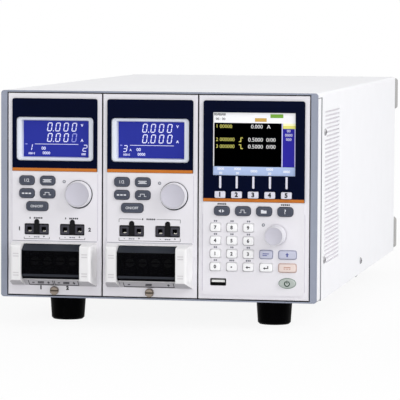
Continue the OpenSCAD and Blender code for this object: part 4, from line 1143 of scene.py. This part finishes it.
class BENCHLOAD_OT_printing(Operator):
    """Print the brackets, outlines and signs on the panels, and paint shade lines along the raised fields"""

    bl_idname = "benchload.printing"
    bl_label = "Printing"

    def execute(self, context):
        sizes = context.scene.benchload_sizes
        for side in SIDES:
            self.module(side, MODULE_X[side], sizes.line_w / MM)
        self.controller(sizes.pale_corner / MM)
        return {"FINISHED"}

    def module(self, side, x, t):
        """The print of a module's panel, with painted shade along the edges of its raised field; the left one
        has two inputs and the right one has one.
        """
        bm = bmesh.new()
        if side == "left":
            self.two_inputs(bm, x, t)
        else:
            self.one_input(bm, x, t)
        self.sense_signs(bm, side, x)
        left, right = x - 21.6, x + 21.4
        if side == "left":
            self.slope(bm, left, x - 0.6, 6.6, t)
            self.slope(bm, x + 0.8, right, 6.6, t)
        else:
            self.slope(bm, left, right, 17, t)
        # Painted shade: a grey line under the lower edge of the raised field.
        field_half, field_low, field_high = 36.8, 48.1, 48.5
        bar(bm, x - field_half, field_low, x + field_half, field_high, *FIELD_PRINT, 1)
        # Painted shade: pale lines along the side edges of the raised field.
        edge_half, edge_low, edge_high = 37.3, 49, 106
        for edge in (x - edge_half, x + edge_half):
            bar(bm, edge - t / 2, edge_low, edge + t / 2, edge_high, *PANEL_PRINT, 2)
        piece(bm, side + "_panel_print", side + "_module", "panel_white", "dark_ink", "grey_ink", "pale_ink")

    def sense_signs(self, bm, side, x):
        """Minus, mark and plus under each sense socket, and the numbers of the left module's two inputs."""
        sign_x, sign_z, sign_h, mark_z = 6.3, 51.9, 2.2, 51.6
        number_h, beside_x, beside_z, below_x, below_z, aside = 3.0, 30.6, 58.4, 11.6, 8.3, 0.4
        for s, number in zip(BOTH, "12"):
            middle = x + s * SENSE_X
            for k, words in zip(BOTH, "-+"):
                lettering(bm, words, sign_h, middle + k * sign_x, sign_z, *FIELD_PRINT)
            marks(bm, middle, mark_z, (1.6, 1.0, 1.4), 0.9, 1)
            if side == "left":
                lettering(bm, number, number_h, x + s * below_x - aside, below_z, *PANEL_PRINT, weight=0.32)
                lettering(bm, number, number_h, x + s * beside_x, beside_z, *FIELD_PRINT, weight=0.24)

    def caption(self, bm, x, z):
        """A short row of blocks over a sense socket."""
        marks(bm, x - 5.4, z, (0.9,), 1.5)
        marks(bm, x + 1.6, z, (1.2, 1.0, 1.2, 1.1, 1.2), 1.3, gap=0.45)

    def two_inputs(self, bm, x, t):
        """A bracket under each sense socket and a caption over it."""
        half, low, rise, caption_z = 11, 50.0, 1.6, 67.8
        for s in BOTH:
            bracket(bm, x + s * SENSE_X - half, x + s * SENSE_X + half, low, rise, t)
            self.caption(bm, x + s * SENSE_X - 0.4, caption_z)

    def one_input(self, bm, x, t):
        """One box round both sense sockets, open at the sides, with a caption in its upper line."""
        half, low, rise, high, stroke_low = 26.4, 49.9, 2.6, 68.4, 65.6
        for x0, x1 in ((x - half, x - 7), (x + 6, x + half)):
            bar(bm, x0, high - t / 2, x1, high + t / 2, *FIELD_PRINT)
        for x0 in (x - half, x + half):
            bar(bm, x0 - t / 2, stroke_low, x0 + t / 2, high, *FIELD_PRINT)
        bracket(bm, x - half, x + half, low, rise, t)
        self.caption(bm, x - 0.6, high)

    def slope(self, bm, x0, x1, reach, t):
        """A bracket with a minus, a plus and two short lines on the slope under a terminal cover."""
        low, line_high, end_high, end_half = 0.08, 0.2, 0.85, t * 0.8
        lip_bar(bm, x0, low, x1, line_high)
        for edge in (x0, x1):
            lip_bar(bm, edge - end_half, low, edge + end_half, end_high)
        middle = (x0 + x1) / 2
        dash, dash_low, dash_high, stroke, stroke_low, stroke_high = 1.0, 0.44, 0.58, 0.3, 0.3, 0.72
        for s in BOTH:
            lip_bar(bm, middle + s * reach - dash, dash_low, middle + s * reach + dash, dash_high)
        lip_bar(bm, middle + reach - stroke, stroke_low, middle + reach + stroke, stroke_high)
        line_left, line_right, line_half = middle - 2.8, middle + 2.6, 0.07
        for rise, shift in ((0.42, -0.2), (0.62, 0.2)):
            lip_bar(bm, line_left + shift, rise - line_half, line_right + shift, rise + line_half)

    def controller(self, corner):
        """Outlines of the coloured keys, the small marks over the keys and the pale line round the panel,
        painted shade along the edge of its raised field.
        """
        grey, violet, coral, leaf, dark, pale = range(6)
        key_line, power_line = 0.3, 0.35
        bm = bmesh.new()
        key_outline(bm, "preset_key", corner, key_line, violet)
        key_outline(bm, "shift_key", corner, key_line, violet)
        key_outline(bm, "load_key", corner, key_line, coral)
        key_outline(bm, "power_key", None, power_line, leaf)
        self.over_keys(bm, [f"number_key_{i}" for i in range(10)], (1.1, 1.2), 1.4, grey)
        self.over_keys(bm, ("point_key", "clear_key"), (1.1, 1.1, 1.0), 1.4, grey)
        self.over_keys(bm, ("menu_key_1", "menu_key_4"), (1.1, 1.3, 1.1, 1.2, 1.0), 1.3, dark)
        # Painted shade: the pale line along the edge of the raised field.
        outer, inner, middle_z = rounded(87.4, 68.0, 2.4), rounded(86.7, 67.3, 2), 41.6
        hoop(bm, outer, inner, CONTROL_X, middle_z, *PANEL_PRINT, pale)
        piece(bm, "control_panel_print", "mainframe", "panel_white", "grey_ink", "violet_ink", "coral_ink",
              "leaf_ink", "dark_ink", "pale_ink")

    def over_keys(self, bm, nodes, widths, height, index):
        """The same row of marks over each of some keys."""
        rise = 1.9
        for node in nodes:
            x, z, _, h = key_shape(node)
            marks(bm, x, z + h / 2 + rise, widths, height, index)


class BENCHLOAD_OT_terminals(Operator):
    """Make the frames, contacts and latches of the sense sockets and the painted highlights along the edges
    of the smoked covers
    """

    bl_idname = "benchload.terminals"
    bl_label = "Terminals"

    def execute(self, context):
        for side in SIDES:
            bm = bmesh.new()
            for s in BOTH:
                self.sense_socket(bm, MODULE_X[side] + s * SENSE_X)
            piece(bm, side + "_sense_trim", side + "_module", "socket_black", "socket_plastic", "socket_rim",
                  "nickel_plate")
            self.cover_edges(side)
        return {"FINISHED"}

    def sense_socket(self, bm, x):
        """Two round openings in square frames with a contact in each, and the latch between them."""
        front, pitch = FIELD_OUT + 0.2, 6.27
        square, hole_r, frame_depth, frame_rise = rounded(7.2, 7.4, 0.6), 2.6, 0.8, 0.15
        opening = [tuple(Vector(point).normalized() * hole_r) for point in square]
        contact, contact_back, contact_front = arc(2.3, 230, 310, 8) + arc(1.5, 310, 230, 8), -2.5, -1.0
        for s in BOTH:
            hoop(bm, square, opening, x + s * pitch, SENSE_Z, front - frame_depth, front + frame_rise, 1)
            plate(bm, contact, x + s * pitch, SENSE_Z, contact_back, contact_front, 2)
        latch, latch_z = rounded(3.4, 10.6, 1.7), SENSE_Z + 2.4
        nose, nose_z = rounded(2.2, 3.2, 1.0), SENSE_Z + 5.2
        plate(bm, latch, x, latch_z, front - 0.5, front + 0.4)
        plate(bm, nose, x, nose_z, front + 0.2, front + 0.8)

    def cover_edges(self, side):
        """Lines along the upper and lower edge of a smoked cover's front, lighter than the smoke: painted
        highlight of the brow and the chamfered foot.
        """
        x, half, back, front = MODULE_X[side], 24.6, 14.7, 15.1
        bm = bmesh.new()
        for low, high in ((41.0, 41.5), (19.2, 21.2)):
            bar(bm, x - half, low, x + half, high, back, front)
        # The shade ink serves here as painted highlight on the black cover.
        piece(bm, side + "_cover_edges", side + "_terminal_cover", "smoked_plastic", "shade_ink")


# Hardware


FAN_Z, FAN_BACK, FAN_SCREW = 104, 490.1, 38


def screw(bm, point, normal, d):
    """A low domed screw head with a cross recess."""
    place = facing(point, normal)
    r = d / 2
    dome = ((1, 0.2), (0.95, 0.7), (0.8, 1.1), (0.6, 1.35), (0.35, 1.45), (0.1, 1.5))
    turned(bm, [(r, -0.4)] + [(r * share, rise) for share, rise in dome], place, SMALL_ROUND)
    # The cross recess is a thin cross painted dark, as shade in the recess.
    arm, t, recess = r * 0.62, r * 0.16, (0.8, 1.52)
    for a, b in ((arm, t), (t, arm)):
        corners = [(-a, -b), (a, -b), (a, b), (-a, b)]
        skin(bm, [[place @ Vector((x * MM, y * MM, h * MM)) for x, y in corners] for h in recess], 1)


def side_plate(bm, outline, x0, x1, index=0):
    """A plate on a side of the body; the outline is reach behind the front and height."""
    skin(bm, [[spot(x, z, -y) for y, z in outline] for x in (x0, x1)], index)


class BENCHLOAD_OT_hardware(Operator):
    """Make the cover and rear screws, the seam shadows, the vent screens and the fan blades"""

    bl_idname = "benchload.hardware"
    bl_label = "Hardware"

    def execute(self, context):
        screw_d = context.scene.benchload_sizes.screw_d / MM
        half = FRAME_HIGH.x / MM
        for name, s in zip(SIDES, BOTH):
            self.cover_screws(name, s, half, screw_d)
            self.seam(name, s, half)
            self.vent_screen(name, s, half)
        self.rear_screws()
        for side in SIDES:
            self.fan(side)
        return {"FINISHED"}

    def cover_screws(self, name, s, half, d):
        """Three screws in a side of the cover, as reach behind the front and height."""
        bm = bmesh.new()
        for reach, z in ((43.4, 142.1), (42.4, 33.3), (281, 11.9)):
            screw(bm, spot(s * half, z, -reach), (s, 0, 0), d)
        piece(bm, name + "_cover_screws", "mainframe", "screw_nickel", "dark_plate", "gap_black")

    def seam(self, name, s, half):
        """The skin of the chassis flange, and a dark grey sheet behind it whose rim shows round the skin as
        painted shade of the seam.
        """
        front, rear, low, high, corner, line, root = 4.3, 26.4, 1.2, 171.4, 3, 0.5, 1.5
        bm = bmesh.new()
        for grow, sink, index in ((0, 0.65, 1), (line, 0.75, 0)):
            bend = arc(corner + grow, -90, 0, 8)
            outline = [(front, high + grow), (front, low - grow)]
            outline += [(rear - corner + y, low + corner + z) for y, z in bend]
            outline.append((rear + grow, high + grow))
            side_plate(bm, outline, s * (half - root), s * (half - sink), index)
        piece(bm, name + "_seam", "mainframe", "white_paint", "seam_grey", "cover_paint")

    def vent_screen(self, name, s, half):
        """The screen behind the vent slots of a side."""
        front, rear, low, high, outer, inner = 43.5, 135, 27, 162, 1.25, 1.75
        bm = bmesh.new()
        outline = [(front, low), (rear, low), (rear, high), (front, high)]
        side_plate(bm, outline, s * (half - inner), s * (half - outer))
        piece(bm, name + "_vent_screen", "mainframe", "white_paint", "vent_screen")

    def rear_screws(self):
        """Screws along the edges of the rear wall and round the two fans."""
        rear, screw_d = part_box("chassis")[1].y, 5
        places = [(x, z) for x in (-126, -40, 40, 126) for z in (8, 168)]
        for x in MODULE_X.values():
            places += [(x + s * FAN_SCREW, FAN_Z + k * FAN_SCREW) for s in BOTH for k in BOTH]
        bm = bmesh.new()
        for x, z in places:
            screw(bm, Vector((x * MM, rear, UNDERSIDE + z * MM)), (0, 1, 0), screw_d)
        piece(bm, "rear_screws", "mainframe", "screw_nickel", "nickel_plate", "gap_black")

    def fan(self, side):
        """Seven twisted blades on the hub of a fan."""
        blades, hub_r, sweep, depth, half_t = 7, 15.5, 0.012, 13.5, 0.4
        bm = bmesh.new()
        for i in range(blades):
            rings = []
            for r, twist, wide in ((hub_r, 0.75, 9), (24, 0.55, 12), (33.5, 0.4, 14)):
                turn = 2 * math.pi * i / blades + (r - hub_r) * sweep
                points = []
                for a, lift in ((-0.5, -half_t), (0.5, -half_t), (0.5, half_t), (-0.5, half_t)):
                    swing = turn + a * wide * math.cos(twist) / r
                    reach = FAN_BACK - depth + a * wide * math.sin(twist) + lift
                    x, z = MODULE_X[side] + r * math.cos(swing), FAN_Z + r * math.sin(swing)
                    points.append(spot(x, z, -reach))
                rings.append(points)
            skin(bm, rings)
        piece(bm, side + "_fan_blades", side + "_module", "socket_black", "socket_plastic", angle=50)


# Stage


WHITE = (1, 1, 1, 1)
LAMPS = {"key": ((2.8, -1.3, 1.9), 2.2), "front": ((0.1, -3.2, 0.6), 2.2), "top": ((0.0, 0.2, 3.0), 2.6)}
LAMP_AIM = Vector((0, 0, 0.1))


class BENCHLOAD_OT_stage(Operator):
    """Set the floor, the light and the camera"""

    bl_idname = "benchload.stage"
    bl_label = "Stage"

    def execute(self, context):
        scene = context.scene
        stage = scene.benchload_stage
        scene.view_settings.view_transform = "Standard"
        self.floor(scene)
        self.sky(scene, stage.sky)
        for name, (place, size) in LAMPS.items():
            self.lamp(scene, name + "_light", getattr(stage, name + "_power"), place, size)
        self.camera(scene, stage)
        return {"FINISHED"}

    def floor(self, scene):
        """A pale floor that the camera sees as white and that keeps the shadow near the part."""
        half = 6
        corners = ((-half, -half, 0), (half, -half, 0), (half, half, 0), (-half, half, 0))
        bm = bmesh.new()
        bm.faces.new([bm.verts.new(corner) for corner in corners])
        mesh = bpy.data.meshes.new("floor")
        bm.to_mesh(mesh)
        bm.free()
        floor = bpy.data.objects.new("floor", mesh)
        scene.collection.objects.link(floor)
        material = bpy.data.materials.new("floor_white")
        material.use_nodes = True
        tree = material.node_tree
        shader = tree.nodes["Principled BSDF"]
        feed(tree, shader, {"Base Color": (0.85, 0.85, 0.86, 1), "Roughness": 0.9})
        coords = add_node(tree, "TexCoord").outputs["Object"]
        far = add_node(tree, "VectorMath", {0: coords}, "LENGTH").outputs["Value"]
        fade = add_node(tree, "MapRange", {
            "Value": far, "From Min": 0.3, "From Max": 0.8, "To Min": 0.9, "To Max": 1.0,
        }).outputs["Result"]
        share = add_node(tree, "Math", {0: self.seen(tree), 1: fade}, "MULTIPLY").outputs["Value"]
        white = add_node(tree, "Emission").outputs["Emission"]
        mix = add_node(tree, "MixShader", {"Fac": share, 1: shader.outputs["BSDF"], 2: white})
        feed(tree, tree.nodes["Material Output"], {"Surface": mix.outputs["Shader"]})
        mesh.materials.append(material)

    def seen(self, tree):
        """1 for rays of the camera, of reflections and of glass."""
        rays = add_node(tree, "LightPath").outputs
        share = rays["Is Camera Ray"]
        for name in ("Is Glossy Ray", "Is Transmission Ray"):
            share = add_node(tree, "Math", {0: share, 1: rays[name]}, "MAXIMUM").outputs["Value"]
        return share

    def sky(self, scene, level):
        """White to the camera and a soft even light on the part."""
        world = bpy.data.worlds.new("studio")
        scene.world = world
        world.use_nodes = True
        tree = world.node_tree
        soft = tree.nodes["Background"]
        feed(tree, soft, {"Color": WHITE, "Strength": level})
        white = add_node(tree, "Background", {"Color": WHITE}).outputs["Background"]
        mix = add_node(tree, "MixShader", {"Fac": self.seen(tree), 1: soft.outputs["Background"], 2: white})
        feed(tree, tree.nodes["World Output"], {"Surface": mix.outputs["Shader"]})

    def lamp(self, scene, name, watts, place, size):
        """A large square lamp that looks at the part."""
        light = bpy.data.lights.new(name, "AREA")
        light.energy = watts
        light.size = size
        lamp = bpy.data.objects.new(name, light)
        lamp.location = place
        lamp.rotation_euler = (LAMP_AIM - Vector(place)).to_track_quat("-Z", "Y").to_euler()
        scene.collection.objects.link(lamp)

    def camera(self, scene, stage):
        """The camera at the photograph's angle."""
        lens = bpy.data.cameras.new("camera")
        lens.lens = stage.lens
        lens.sensor_width = 36
        lens.clip_end = 100
        camera = bpy.data.objects.new("camera", lens)
        scene.collection.objects.link(camera)
        yaw, pitch, roll = stage.yaw, stage.pitch, stage.roll
        back = Vector((math.sin(yaw) * math.cos(pitch), -math.cos(yaw) * math.cos(pitch), math.sin(pitch)))
        right = Vector((math.cos(yaw), math.sin(yaw), 0))
        up = back.cross(right)
        across = right * math.cos(roll) + up * math.sin(roll)
        upward = up * math.cos(roll) - right * math.sin(roll)
        turn = Matrix((across, upward, back)).transposed().to_4x4()
        camera.matrix_world = Matrix.Translation(stage.place) @ turn
        scene.camera = camera


# Add-on


PIECES = (
    BENCHLOAD_OT_finishes, BENCHLOAD_OT_shell, BENCHLOAD_OT_inside, BENCHLOAD_OT_keys, BENCHLOAD_OT_knobs,
    BENCHLOAD_OT_displays, BENCHLOAD_OT_screen, BENCHLOAD_OT_lamps, BENCHLOAD_OT_printing,
    BENCHLOAD_OT_terminals, BENCHLOAD_OT_hardware, BENCHLOAD_OT_stage,
)
GROUPS = {"colours": BenchLoadColours, "sizes": BenchLoadSizes, "stage": BenchLoadStage}


class BENCHLOAD_PT_sidebar(Panel):
    """Lists the pieces of the bench load"""

    bl_label = "Bench load"
    bl_idname = "BENCHLOAD_PT_sidebar"
    bl_space_type = "VIEW_3D"
    bl_region_type = "UI"
    bl_category = "Bench load"

    def draw(self, context):
        for one in PIECES:
            self.layout.operator(one.bl_idname)
        for name, group in GROUPS.items():
            box = self.layout.box()
            box.label(text=name.capitalize())
            for key in group.__annotations__:
                box.prop(getattr(context.scene, "benchload_" + name), key)


def register():
    for name, group in GROUPS.items():
        bpy.utils.register_class(group)
        setattr(bpy.types.Scene, "benchload_" + name, PointerProperty(type=group))
    for one in (*PIECES, BENCHLOAD_PT_sidebar):
        bpy.utils.register_class(one)


def unregister():
    for one in reversed((*PIECES, BENCHLOAD_PT_sidebar)):
        bpy.utils.unregister_class(one)
    for name, group in GROUPS.items():
        delattr(bpy.types.Scene, "benchload_" + name)
        bpy.utils.unregister_class(group)


def main():
    register()
    for one in PIECES:
        getattr(bpy.ops.benchload, one.bl_idname.split(".")[1])()


if __name__ == "__main__":
    main()
